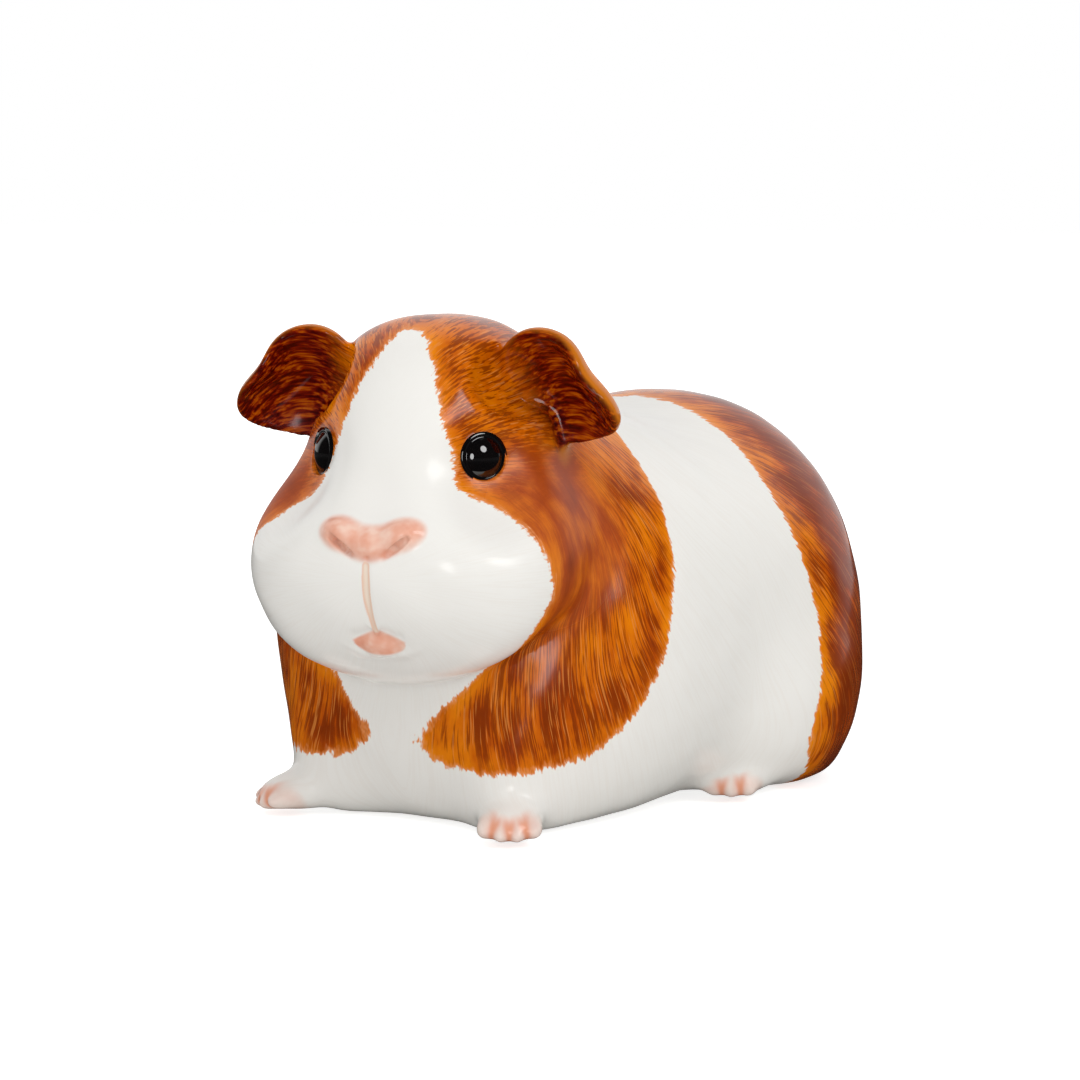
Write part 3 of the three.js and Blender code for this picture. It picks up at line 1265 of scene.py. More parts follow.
    def angles(self, points: Array) -> tuple[Array, Array, Array]:
        """Tells points by angles.

        Args:
            points: the points.

        Returns:
            The angle round the nose's axis and the angle away from the nose, in degrees,
            and the distance from the point inside the neck.
        """
        away = points - np.array(self.neck)
        distance = np.linalg.norm(away, axis=-1)
        around = np.degrees(np.arctan2(away[:, 0], away[:, 2]))
        back = np.degrees(np.arctan2(np.hypot(away[:, 0], away[:, 2]), -away[:, 1]))
        return around, back, distance

    def inside(self, knots: Knots, points: Array) -> Array:
        """How far points lie behind an edge that is given by the two angles.

        It is the gap in the angle away times the distance, less where the edge runs aslant.

        Args:
            knots: the edge.
            points: the points.

        Returns:
            The millimetres by which each point lies behind it.
        """
        around, back, distance = self.angles(points)
        gap = back - self.smooth_curve(knots, around)
        lean = self.smooth_curve(knots, around + 1.0) - self.smooth_curve(knots, around - 1.0)
        tilt = lean / 2.0 / np.maximum(np.sin(np.radians(back)), 0.2)
        return np.radians(gap) * distance / np.hypot(1.0, tilt)

    def head_patch(self, points: Array) -> tuple[Array, Array]:
        """Millimetres inside the front edge and inside the rear edge of the head's patch."""
        return self.inside(self.front_edge, points), -self.inside(self.rear_edge, points)

    def rump_patch(self, points: Array) -> Array:
        """Millimetres inside the rump's patch."""
        around = np.abs(np.degrees(np.arctan2(points[:, 0], points[:, 2] - self.rump_height)))
        return points[:, 1] - self.smooth_curve(self.rump_edge, around)

    def side(self, points: Array) -> Array:
        """A number that grows from the animal's right to its left, so that the sides differ."""
        return self.sides_differ * points[:, 0]

    def brow_strokes(self, points: Array) -> Array:
        """Strokes that fan out from the bridge of the nose and bend a little.

        Across them runs the angle round the bridge, and a little of the distance from it
        squared; along them runs the distance.

        Args:
            points: the points to be painted.

        Returns:
            Across, along and side of each point.
        """
        out, up = np.hypot(points[:, 0], self.brow_round), points[:, 2] - self.bridge_height
        along = np.hypot(out, up)
        across = np.arctan2(up, out) * self.brow_radius + self.brow_bend * along**2
        return np.stack([across, along + points[:, 1], self.side(points)], axis=-1)

    def cheek_strokes(self, points: Array) -> Array:
        """Strokes that run back from the nose: the two angles, each times a radius.

        Args:
            points: the points to be painted.

        Returns:
            Across, along and side of each point.
        """
        around, back, _ = self.angles(points)
        wide, long = self.cheek_radii
        across, along = np.radians(around) * wide, np.radians(back) * long
        return np.stack([across, along, self.side(points)], axis=-1)

    def body_strokes(self, points: Array) -> Array:
        """Strokes that fan out behind the cheek, and others that run over the rump.

        Across them runs the angle round a centre, told from below it in the plane of y and
        z, times a radius, with a share of the way out from the middle; along them runs the
        distance from that centre.

        Args:
            points: the points to be painted.

        Returns:
            Across, along and side of each point.
        """
        shoulder_y, shoulder_z = self.shoulder_centre
        back, down = points[:, 1] - shoulder_y, shoulder_z - points[:, 2]
        fan = np.arctan2(back, down) * self.shoulder_radius + self.slant * np.abs(points[:, 0])
        shoulder = np.stack([fan, np.hypot(back, down), self.side(points)], axis=-1)
        loin_y, loin_z = self.loin_centre
        back, down = points[:, 1] - loin_y, loin_z - points[:, 2]
        aslant = self.slant * np.hypot(points[:, 0], self.rump_round)
        sweep = np.arctan2(back, down) * self.rump_radius - aslant + self.rump_start
        rump = np.stack([sweep, np.hypot(back, down), self.side(points)], axis=-1)
        return np.where((points[:, 1] > self.rump_front)[:, None], rump, shoulder)

    def ear_strokes(self, points: Array, ear: Ear) -> Array:
        """Strokes in the hollow of the ear, which bend across it.

        Across them runs the height and a little of the way outwards squared; along them runs
        the way outwards.

        Args:
            points: the points to be painted, on the animal's left.
            ear: the left ear.

        Returns:
            Across, along and depth of each point.
        """
        out, back, up = ear.local(points).T
        depth = self.ear_depth * back
        return np.stack([up + self.ear_bend * out**2, out + depth, depth], axis=-1)


# ------------------------------------------------------------------------------------ skin


@dataclass
class Skin:
    """The glazed skin: trunk, head, ears, legs, nose and lip in one surface.

    Attributes:
        animal: its form.
        plan: its paint.
        voxel: how fine the grids are fused, in millimetres.
        rows: rings, and points in a ring, of the grids of body and head.
        ear_rows: the same of an ear's grid.
        small_rows: the same of the grids of pads, toes, nose and lip.
        body_centre: where the rays of the body's grid start.
        head_centre: where those of the head's grid start.
        rounds: rounds in which the skin is settled: once fused, refined and refined again.
        name: the piece's name.
    """

    animal: Animal
    plan: PaintPlan
    voxel: float = 1.5
    rows: tuple[int, int] = (96, 96)
    ear_rows: tuple[int, int] = (40, 64)
    small_rows: tuple[int, int] = (14, 20)
    body_centre: Triple = (0.0, 10.0, 46.0)
    head_centre: Triple = (0.0, -55.0, 70.0)
    rounds: tuple[int, int, int] = (4, 3, 3)
    name: str = "glazed_skin"

    def lumps(self) -> list[Lump]:
        """Grids that together fill the form.

        Returns:
            Those of body and head, and of each ear, pad and toe, and of nose and lip.
        """
        animal = self.animal
        centres = (self.body_centre, self.head_centre)
        grids = [cast(animal.bare, centre, *self.rows) for centre in centres]
        ear = animal.ear.grid(*self.ear_rows)
        grids += [ear, mirror_image(ear)]
        small = [mass for paw in animal.paws for mass in [paw.pad, *paw.toe_masses()]]
        small += [animal.face.ala]
        small += [mass.mirrored() for mass in small] + [animal.face.septum, animal.face.lip]
        return grids + [mass.grid(*self.small_rows) for mass in small]

    def fused(self) -> bpy.types.Mesh:
        """Fuses the grids.

        Returns:
            A mesh of one even closed surface.
        """
        rough = add_object(to_mesh("rough_clay", *joined(self.lumps())))
        remesh = rough.modifiers.new("fuse", "REMESH")
        remesh.mode = "VOXEL"
        remesh.voxel_size = self.voxel
        remesh.adaptivity = 0.0
        graph = bpy.context.evaluated_depsgraph_get()
        mesh = bpy.data.meshes.new_from_object(rough.evaluated_get(graph))
        bpy.data.objects.remove(rough)
        return mesh

    def settle(self, mesh: bpy.types.Mesh, rounds: int) -> None:
        """Draws the points onto the form and evens them out along it.

        A round moves each point part of the way to the mean of its neighbours, but only
        along the surface, then by the form's distance over its slope, against the slope.

        Args:
            mesh: the mesh to settle.
            rounds: number of rounds.
        """
        guard, last_guard = 0.05, 0.02  # keep a step short where the slope all but vanishes
        points = points_of(mesh)
        first, second = edge_ends(mesh)
        count = np.bincount(np.concatenate([first, second]), minlength=len(points))[:, None]
        for _ in range(rounds):
            normal = slope(self.animal.form, points)
            steep = np.linalg.norm(normal, axis=-1, keepdims=True)
            pull = self.animal.form(points)[:, None] * normal / (steep**2 + guard)
            points = points - np.clip(pull, -self.voxel, self.voxel)
            normal /= np.maximum(steep, TINY)
            sums = np.stack(
                [
                    np.bincount(first, points[second, axis], len(points))
                    + np.bincount(second, points[first, axis], len(points))
                    for axis in range(3)
                ],
                axis=-1,
            )
            drift = sums / count - points
            drift -= normal * (drift * normal).sum(axis=-1, keepdims=True)
            points = points + 0.5 * drift
        for _ in range(2):
            normal = slope(self.animal.form, points)
            square = (normal**2).sum(axis=-1, keepdims=True)
            pull = self.animal.form(points)[:, None] * normal / (square + last_guard)
            points = points - np.clip(pull, -self.voxel, self.voxel)
        place_points(mesh, points)

    @staticmethod
    def refine(mesh: bpy.types.Mesh, wanted: Form) -> None:
        """Halves edges, and the faces between them.

        Args:
            mesh: the mesh.
            wanted: a measure that is positive at the middle of an edge that is to be halved.
        """
        points = points_of(mesh)
        first, second = edge_ends(mesh)
        chosen = np.flatnonzero(wanted((points[first] + points[second]) / 2.0) > 0.0)
        work = bmesh.new()
        work.from_mesh(mesh)
        work.edges.ensure_lookup_table()
        edges = [work.edges[number] for number in chosen]
        bmesh.ops.subdivide_edges(work, edges=edges, cuts=1, use_grid_fill=True)
        work.to_mesh(mesh)
        work.free()

    def fine(self, points: Array) -> Array:
        """Where the forms are small: face, ears and paws.

        Args:
            points: where it is wanted.

        Returns:
            The millimetres by which each point lies within reach of one of them.
        """
        ear_reach, temple_margin, paw_reach, face_reach, eye_reach = 5.0, 3.0, 3.0, 15.0, 10.0
        muzzle, measure = np.array([4.0, -92.0, 60.0]), [1.0, 0.7, 0.7]
        side, leaf, eye = on_left(points), self.animal.ear, self.animal.eye
        ear = np.minimum(leaf.distance(side), leaf.temple.distance(side) + temple_margin)
        paws = [paw_reach - paw.distance(side) for paw in self.animal.paws]
        face = face_reach - np.linalg.norm((side - muzzle) * measure, axis=-1)
        socket = eye_reach - np.linalg.norm(side - np.array(eye.at), axis=-1)
        return np.max([ear_reach - ear, face, socket, *paws], axis=0)

    def finest(self, points: Array) -> Array:
        """Where the forms are smallest: nose, mouth, lids and toes.

        Args:
            points: where it is wanted.

        Returns:
            The millimetres by which each point lies within reach of one of them.
        """
        nose_reach, lip_reach, line_share, toe_reach = 2.5, 4.0, 0.05, 1.6
        lid_reach, lid_middle = 1.6, 0.2
        side, face, eye = on_left(points), self.animal.face, self.animal.eye
        nose = nose_reach - face.nose(side)
        lip = lip_reach - face.lip.distance(side)
        line = face.philtrum.amount(side) - line_share
        toes = [toe_reach - paw.toe_distance(side) for paw in self.animal.paws]
        off, height = eye.place(side)
        lids = np.where(height > 0.0, lid_reach - np.abs(off - eye.opening - lid_middle), -1.0)
        return np.max([nose, lip, line, lids, *toes], axis=0)

    def paint(self, mesh: bpy.types.Mesh) -> None:
        """Writes the paint plan into the mesh's attributes.

        Args:
            mesh: the settled mesh, in the straight pose.
        """
        points = points_of(mesh)
        side = on_left(points)
        plan, animal, face = self.plan, self.animal, self.animal.face
        front, rear = plan.head_patch(points)
        rump = plan.rump_patch(points)
        ear = animal.ear.distance(side)
        hem = points[:, 2] - plan.hem_height
        head = soft_union(soft_union(front, rear, plan.corner_melt), hem, plan.hem_melt)
        patch = np.max([head, rump, plan.ear_margin - plan.ear_fall * ear], axis=0)
        on_ear = plan.ear_edge.of(ear)
        around, _, _ = plan.angles(points)
        brow = plan.brow_sector.of(np.abs(around)) * (points[:, 1] < plan.brow_back)
        behind = plan.collar.of(front - rear + plan.collar_shift)
        behind = np.maximum(behind, plan.flank.of(points[:, 1]))
        behind = np.maximum(behind, plan.fringe.of(front) * (1.0 - brow))
        calm = plan.calm_reach.of(np.linalg.norm(side - np.array(plan.calm_centre), axis=-1))
        # painted shade: the chest grows darker towards the bottom at the front
        low_chest_shade = plan.low_shade_height.of(points[:, 2]) * plan.low_shade_front.of(points[:, 1])
        nose = plan.nose_edge.of(face.nose(side))
        # the nostrils' dark paint, partly painted shade in the slits
        nostril_paint_and_shade = plan.nostril_shade_edge.of(face.nostril.distance(side))
        line = face.philtrum.amount(points) * (points[:, 1] < plan.line_back)
        line = line * plan.line_root.of(face.nose(side))
        toes = plan.toe_edge.of(np.min([paw.toe_distance(side) for paw in animal.paws], axis=0))
        crevice = np.max([paw.crevice(side) for paw in animal.paws], axis=0)
        blush = [nose, plan.toe_pink * toes, plan.crevice_pink * crevice, self.almond(points)]
        pink = np.max(blush, axis=0)
        base = plan.bare_height.of(points[:, 2])
        for name, numbers in (
            ("patch", (patch, behind, on_ear)),
            ("tint", (pink, nostril_paint_and_shade, base)),
            ("detail", (animal.ear.cup(side) * on_ear, animal.eye.rim(side), rump)),
            ("zones", (brow, line, calm)),
            # flush holds the toes' creases, the ears' pale rim (partly a painted highlight) and the
            # painted shade low on the chest
            ("flush", (crevice, animal.ear.rim_paint_and_highlight(side) * on_ear, low_chest_shade)),
        ):
            self.write(mesh, name, np.stack(numbers, axis=-1))
        self.write(mesh, "brow_strokes", plan.brow_strokes(points))
        self.write(mesh, "cheek_strokes", plan.cheek_strokes(points))
        self.write(mesh, "body_strokes", plan.body_strokes(points))
        self.write(mesh, "ear_strokes", plan.ear_strokes(side, animal.ear))

    @staticmethod
    def almond(points: Array) -> Array:
        """Where the painted lip lies.

        It lies below a curve that rises to a point in the middle and above half an ellipse.

        Args:
            points: where it is wanted.

        Returns:
            1 inside it and 0 outside.
        """
        half_width, rise, fall, point, back = 6.0, 2.7, 3.0, 0.9, -78.0
        upper_corner, lower_corner, edge = 46.3, 46.0, Rise(-0.35, 0.45)
        x, z = points[:, 0], points[:, 2]
        off = np.minimum(np.abs(x) / half_width, 1.0)
        upper = upper_corner + rise * (1.0 - off) ** point
        lower = lower_corner - fall * np.sqrt(np.clip(1.0 - off**2, 0.0, 1.0))
        inside = np.min([upper - z, z - lower, half_width - np.abs(x)], axis=0)
        return edge.of(inside) * (points[:, 1] < back)

    @staticmethod
    def write(mesh: bpy.types.Mesh, name: str, values: Array) -> None:
        """Stores three numbers for each point under a name."""
        attribute = mesh.attributes.new(name, "FLOAT_VECTOR", "POINT")
        attribute.data.foreach_set("vector", values.astype(np.float32).ravel())

    def build(self) -> bpy.types.Object:
        """Makes the skin: fused, settled, refined twice, painted, and its head turned.

        Returns:
            The skin, without its material.
        """
        fused, refined, refined_again = self.rounds
        mesh = self.fused()
        self.settle(mesh, fused)
        self.refine(mesh, self.fine)
        self.settle(mesh, refined)
        self.refine(mesh, self.finest)
        self.settle(mesh, refined_again)
        self.paint(mesh)
        place_points(mesh, self.animal.turn.apply(points_of(mesh)) * MM)
        mesh.name = self.name
        mesh.shade_smooth()
        return add_object(mesh)


@dataclass(frozen=True)
class Eyes:
    """The two glossy domes.

    Attributes:
        eye: the left eye in the straight pose.
        turn: the turn of the head.
    """

    eye: Eye
    turn: Turn

    def build(self, side: Side) -> bpy.types.Object:
        """Makes the dome of one side.

        Args:
            side: the side.

        Returns:
            The dome, without its material.
        """
        dome = self.eye.dome(28, 64)
        points, faces = dome if side is Side.LEFT else mirror_image(dome)
        mesh = to_mesh(f"eye_dome_{side.value}", self.turn.apply(points) * MM, faces)
        return add_object(mesh)


# -------------------------------------------------------------------------------- finishes


def linear(code: str) -> tuple[float, float, float, float]:
    """Turns a colour into linear light.

    Args:
        code: its six hex digits.

    Returns:
        Red, green, blue and 1.
    """
    shares = [int(code[i : i + 2], 16) / 255.0 for i in (0, 2, 4)]
    light = [s / 12.92 if s <= 0.04045 else ((s + 0.055) / 1.055) ** 2.4 for s in shares]
    return (*light, 1.0)


class Recipe:
    """A material under construction: a Principled shader and the nodes that feed it.

    Each method that gives a socket adds the nodes behind it. A value may be a number, a
    colour or a socket.
    """

    def __init__(self, name: str) -> None:
        """Starts a material with nothing but its output and its Principled shader."""
        self.material = bpy.data.materials.new(name)
        self.material.use_nodes = True
        self.tree = self.material.node_tree
        self.tree.nodes.clear()
        self.shader = self.tree.nodes.new("ShaderNodeBsdfPrincipled")
        output = self.tree.nodes.new("ShaderNodeOutputMaterial")
        self.tree.links.new(self.shader.outputs[0], output.inputs[0])

    def node(self, kind: str, **settings: object) -> bpy.types.Node:
        """Adds a node.

        Args:
            kind: its type.
            settings: its properties and their values.

        Returns:
            The node.
        """
        node = self.tree.nodes.new(kind)
        for key, value in settings.items():
            setattr(node, key, value)
        return node

    def feed(self, socket: Socket, value: object) -> None:
        """Links a socket to another, or sets its value."""
        if isinstance(value, bpy.types.NodeSocket):
            self.tree.links.new(value, socket)
        else:
            socket.default_value = value

    def result(self, kind: str, *values: object, out: int = 0, **settings: object) -> Socket:
        """Adds a node and feeds its sockets in their order.

        Args:
            kind: its type.
            values: what its sockets are fed with; None leaves one as it is.
            out: number of the output that is wanted.
            settings: its properties and their values.

        Returns:
            The output.
        """
        node = self.node(kind, **settings)
        for socket, value in zip(node.inputs, values):
            if value is not None:
                self.feed(socket, value)
        return node.outputs[out]

    def attribute(self, name: str) -> list[Socket]:
        """The three numbers of a point attribute."""
        split = self.node("ShaderNodeSeparateXYZ")
        self.feed(split.inputs[0], self.vector(name))
        return list(split.outputs)

    def vector(self, name: str) -> Socket:
        """A point attribute as a vector."""
        return self.node("ShaderNodeAttribute", attribute_name=name).outputs["Vector"]

    def place(self) -> Socket:
        """Where a point lies on the object."""
        return self.node("ShaderNodeTexCoord").outputs["Object"]

    def calc(self, operation: str, *values: object) -> Socket:
        """Arithmetic on one to three values."""
        return self.result("ShaderNodeMath", *values, operation=operation)

    def scaled(self, vector: Socket, factors: Triple) -> Socket:
        """A vector with each part multiplied."""
        return self.result("ShaderNodeVectorMath", vector, factors, operation="MULTIPLY")

    def moved(self, vector: Socket, by: Socket) -> Socket:
        """The sum of two vectors."""
        return self.result("ShaderNodeVectorMath", vector, by, operation="ADD")

    def noise_node(
        self, vector: Socket, scale: float, detail: float, rough: float
    ) -> bpy.types.Node:
        """Adds noise.

        Args:
            vector: where it is read.
            scale: how fine it is.
            detail: number of finer layers on top of it.
            rough: how strong these are.

        Returns:
            The node.
        """
        node = self.node("ShaderNodeTexNoise", noise_dimensions="3D")
        self.feed(node.inputs["Vector"], vector)
        for name, value in (("Scale", scale), ("Detail", detail), ("Roughness", rough)):
            node.inputs[name].default_value = value
        return node

    def noise(
        self, vector: Socket, scale: float, detail: float = 2.0, rough: float = 0.5
    ) -> Socket:
        """Smooth noise from 0 to 1 about 0.5."""
        return self.noise_node(vector, scale, detail, rough).outputs[0]

    def between(
        self, value: object, low: float, high: float, start: float = 0.0, end: float = 1.0
    ) -> Socket:
        """Carries a value smoothly from one range to another.

        Args:
            value: the value.
            low: where its range begins; it may be the larger end.
            high: where its range ends.
            start: what it becomes at low, and before it.
            end: what it becomes at high, and past it.

        Returns:
            The new value.
        """
        given = (value, low, high, start, end)
        return self.result("ShaderNodeMapRange", *given, interpolation_type="SMOOTHSTEP")

    def blend(self, share: object, first: object, second: object) -> Socket:
        """A number between two numbers."""
        return self.result("ShaderNodeMix", share, None, first, second, data_type="FLOAT")

    def colour(self, share: object, first: object, second: object) -> Socket:
        """A colour between two colours."""
        given = (share, *[None] * 5, first, second)
        return self.result("ShaderNodeMix", *given, out=2, data_type="RGBA")

    def ramp(self, value: Socket, stops: Stops) -> Socket:
        """Colours along a value.

        Args:
            value: the value.
            stops: pairs of place and hex colour.

        Returns:
            The colour.
        """
        node = self.node("ShaderNodeValToRGB")
        self.feed(node.inputs[0], value)
        band = node.color_ramp
        while len(band.elements) < len(stops):
            band.elements.new(1.0)
        for element, (place, code) in zip(band.elements, stops):
            element.position = place
            element.color = linear(code)
        return node.outputs[0]

    def gloss(self, rough: float, index: float, specular: float = 0.5) -> None:
        """Sets roughness, refractive index and mirrored light on the shader's own sockets."""
        for name, value in (("Roughness", rough), ("IOR", index), ("Specular IOR Level", specular)):
            self.shader.inputs[name].default_value = value


@dataclass(frozen=True)
class Brush:
    """How one field of strokes is painted.

    Attributes:
        field: the attribute that holds its stroke coordinates.
        width: about how wide a stroke is, in millimetres.
        length: about how long it is.
    """

    field: str
    width: float
    length: float


@dataclass(frozen=True)
class PaintedGlaze:
    """White glaze over earthenware with brown brushwork and pink touches under it.

    Attributes:
        white: the glaze over bare clay.
        warm: faint strokes in the white.
        peach: the thin end of a brown stroke.
        dark: dark strokes in the brown.
        light: scratches in the brown.
        line: edge and middle of the line below the nose.
        rim_paint_and_highlight: the pale rims of the ears, partly paint and partly a painted
            highlight on the rolled edge.
        flush: the creases between the toes.
        nostril_paint_and_shade: the nostrils' dark paint, partly painted shade in the slits.
        lid: the dark line round the eyes.
        browns: washes of the coat, from thick to thin paint.
        ear_browns: strokes in the ears, from thick to thin paint.
        pinks: touches on nose, lip and toes.
        clay: the bare clay of the base.
        brushes: strokes of the brow, the cheek and the body, in this order.
        ear_brush: strokes in the ears.
        rough_white: how rough the glaze is over the white.
        rough_brown: how rough it is over the brown.
        rough_ear: over the ears.
        rough_calm: over the calm cheek.
        rough_pink: over the pink.
        rough_clay: how rough the bare clay is.
        rough_mean: how rough the whole is for a reader that knows no nodes.
    """

    white: str = "f1efea"
    warm: str = "e8e1d8"
    peach: str = "e8985c"
    dark: str = "7a2c00"
    light: str = "e28a3c"
    line: Stops = ((0.35, "ecc8b2"), (0.8, "ecdac8"))
    rim_paint_and_highlight: str = "c8721a"
    flush: str = "e69c7c"
    nostril_paint_and_shade: str = "a04e30"
    lid: str = "2a0c04"
    browns: Stops = ((0.2, "8c3000"), (0.38, "b44a00"), (0.5, "d26800"), (0.7, "ec8600"))
    ear_browns: Stops = (
        (0.3, "440200"), (0.44, "620a00"), (0.53, "801a00"), (0.64, "a44000"), (0.78, "be5c04"),
    )
    pinks: Stops = ((0.3, "e8a086"), (0.5, "efb49c"), (0.7, "f5cdba"))
    clay: Stops = ((0.3, "d9cdbb"), (0.7, "e6dccd"))
    brushes: tuple[Brush, ...] = (
        Brush("brow_strokes", 0.55, 7.0),
        Brush("cheek_strokes", 0.5, 8.0),
        Brush("body_strokes", 0.42, 13.0),
    )
    ear_brush: Brush = Brush("ear_strokes", 1.0, 9.0)
    rough_white: float = 0.2
    rough_brown: float = 0.15
    rough_ear: float = 0.08
    rough_calm: float = 0.45
    rough_pink: float = 0.1
    rough_clay: float = 0.75
    rough_mean: float = 0.11

    @staticmethod
    def strokes(recipe: Recipe, brush: Brush, wander: Socket) -> tuple[Socket, ...]:
        """Brushwork along one set of stroke coordinates.

        Args:
            recipe: the material under construction.
            brush: how the field is painted.
            wander: how far the strokes stray.

        Returns:
            The dark strokes, the light scratches, the blotches of tone and the teeth.
        """
        where = recipe.moved(recipe.vector(brush.field), wander)
        width, length = 1.0 / brush.width, 1.0 / brush.length
        dark = recipe.noise(recipe.scaled(where, (width, length, 3.0)), 1.0, 2.0, 0.6)
        light = recipe.noise(recipe.scaled(where, (1.2 / brush.width, length, 7.0)), 1.0, 1.0, 0.6)
        blotch = recipe.noise(recipe.scaled(where, (0.14, 0.05, 5.0)), 1.0, 4.0, 0.6)
        tooth = recipe.noise(recipe.scaled(where, (1.1, 0.3, 11.0)), 1.0, 2.0, 0.6)
        return dark, light, blotch, tooth

    def build(self) -> bpy.types.Material:
        """Makes the material.

        The browns are chosen by one tone, the blotches with a little cloudiness. It is darker
        inside the rump, darker low on the chest as painted shade, and lighter along the edges of
        the patches. Dark strokes, scratches and the thin ends of strokes are laid over them, then
        the ears with their pale rims, partly a painted highlight, and the white takes the rest.
        The small touches come last; the nostrils' dark paint among them is partly painted shade.

        Returns:
            The material.
        """
        recipe = Recipe("painted_glaze")
        place = recipe.place()
        cloud = recipe.noise(place, 90.0, 2.0)
        drift = recipe.noise_node(place, 60.0, 1.0, 0.5)
        wander = recipe.scaled(drift.outputs["Color"], (0.8, 0.8, 0.0))

        patch, behind, on_ear = recipe.attribute("patch")
        pink, nostril_paint_and_shade, base = recipe.attribute("tint")
        cup, lid, rump = recipe.attribute("detail")
        brow, line, calm = recipe.attribute("zones")
        # the toes' creases, the ears' pale rim (partly a painted highlight) and the painted shade
        # low on the chest
        flush, rim_paint_and_highlight, low_chest_shade = recipe.attribute("flush")
        fields = [self.strokes(recipe, brush, wander) for brush in self.brushes]
        dark, light, blotch, tooth = (
            recipe.blend(behind, recipe.blend(brow, on_cheek, on_brow), on_body)
            for on_brow, on_cheek, on_body in zip(*fields)
        )
        ear_dark, ear_light, _, _ = self.strokes(recipe, self.ear_brush, wander)

        # millimetres inside a patch, with the teeth of its edge
        ragged = recipe.calc("MULTIPLY_ADD", recipe.calc("SUBTRACT", tooth, 0.5), 4.0, patch)
        cover = recipe.between(ragged, -0.25, 0.3)
        edge = recipe.calc("SUBTRACT", 1.0, recipe.between(ragged, 0.0, 5.0))

        # the tone of the wash
        tone = recipe.calc("MULTIPLY_ADD", blotch, 0.6, 0.2)
        tone = recipe.calc("MULTIPLY_ADD", recipe.calc("SUBTRACT", cloud, 0.5), 0.5, tone)
        tone = recipe.calc("MULTIPLY_ADD", edge, 0.12, tone)
        tone = recipe.calc("SUBTRACT", tone, recipe.between(rump, 5.0, 14.0, 0.0, 0.2))
        # darker on the calm cheek, and painted shade low on the chest at the front
        tone = recipe.calc("MULTIPLY_ADD", recipe.calc("MAXIMUM", calm, low_chest_shade), -0.09, tone)
        brown = recipe.ramp(tone, self.browns)

        # dark strokes and scratches, few of them on the calm cheek, and thin ends
        weight = recipe.between(recipe.calc("MULTIPLY_ADD", tone, -0.6, dark), 0.18, 0.27)
        weight = recipe.calc("MULTIPLY", weight, recipe.between(ragged, 0.5, 5.0, 0.3, 0.75))
        weight = recipe.calc("MULTIPLY", weight, recipe.between(calm, 0.0, 1.0, 1.0, 0.25))
        brown = recipe.colour(weight, brown, linear(self.dark))
        scratch = recipe.between(light, 0.6, 0.67)
        scratch = recipe.calc("MULTIPLY", scratch, recipe.between(calm, 0.0, 1.0, 0.6, 0.1))
        scratch = recipe.calc("MULTIPLY", scratch, recipe.between(rump, 2.0, 12.0, 1.0, 0.35))
        brown = recipe.colour(scratch, brown, linear(self.light))
        brown = recipe.colour(recipe.between(ragged, 1.3, -0.4), brown, linear(self.peach))

        # the ears
        hollow = recipe.calc("MULTIPLY_ADD", recipe.calc("SUBTRACT", ear_dark, 0.5), 1.5, 0.48)
        hollow = recipe.calc("MULTIPLY_ADD", recipe.between(ear_light, 0.6, 0.72), 0.1, hollow)
        # the pale ear rim: lighter orange that is partly paint and partly a painted highlight on
        # the rolled edge
        brown = recipe.colour(rim_paint_and_highlight, brown, linear(self.rim_paint_and_highlight))
        brown = recipe.colour(cup, brown, recipe.ramp(hollow, self.ear_browns))

        # the white, and the small touches
        faint = recipe.between(dark, 0.42, 0.66)
        faint = recipe.calc("MULTIPLY", faint, recipe.blend(brow, 0.2, 0.05))
        white = recipe.colour(faint, linear(self.white), linear(self.warm))
        paint = recipe.colour(cover, white, brown)
        paint = recipe.colour(pink, paint, recipe.ramp(recipe.noise(place, 260.0, 2.0), self.pinks))
        paint = recipe.colour(recipe.calc("MULTIPLY", flush, 0.9), paint, linear(self.flush))
        paint = recipe.colour(recipe.between(line, 0.08, 0.3), paint, recipe.ramp(line, self.line))
        # the nostrils: dark paint that is partly painted shade in the slits
        paint = recipe.colour(recipe.calc("MULTIPLY", nostril_paint_and_shade, 0.85), paint, linear(self.nostril_paint_and_shade))
        paint = recipe.colour(recipe.calc("MULTIPLY", lid, 0.8), paint, linear(self.lid))
        paint = recipe.colour(base, paint, recipe.ramp(recipe.noise(place, 900.0, 3.0), self.clay))
        recipe.feed(recipe.shader.inputs["Base Color"], paint)

        recipe.gloss(self.rough_mean, 1.5, 0.38)
        rough = recipe.blend(on_ear, self.rough_brown, self.rough_ear)
        rough = recipe.blend(cover, self.rough_white, recipe.blend(calm, rough, self.rough_calm))
        rough = recipe.blend(base, recipe.blend(pink, rough, self.rough_pink), self.rough_clay)
        recipe.feed(recipe.shader.inputs["Roughness"], rough)

        bump = recipe.node("ShaderNodeBump")
        bump.inputs["Strength"].default_value = 0.1
        bump.inputs["Distance"].default_value = 0.001
        recipe.feed(bump.inputs["Height"], recipe.noise(place, 130.0, 1.0))
        recipe.feed(recipe.shader.inputs["Normal"], bump.outputs[0])
        return recipe.material


@dataclass(frozen=True)
class BlackGlaze:
    """Black glossy glaze of the eyes, with a trace of brown clouding."""

    tones: Stops = ((0.3, "050405"), (0.8, "0a0606"))

    def build(self) -> bpy.types.Material:
        """Makes the material.

        Returns:
            The material.
        """
        recipe = Recipe("black_glaze")
        cloud = recipe.noise(recipe.place(), 500.0)
        recipe.feed(recipe.shader.inputs["Base Color"], recipe.ramp(cloud, self.tones))
        recipe.gloss(0.02, 1.9)
        return recipe.material


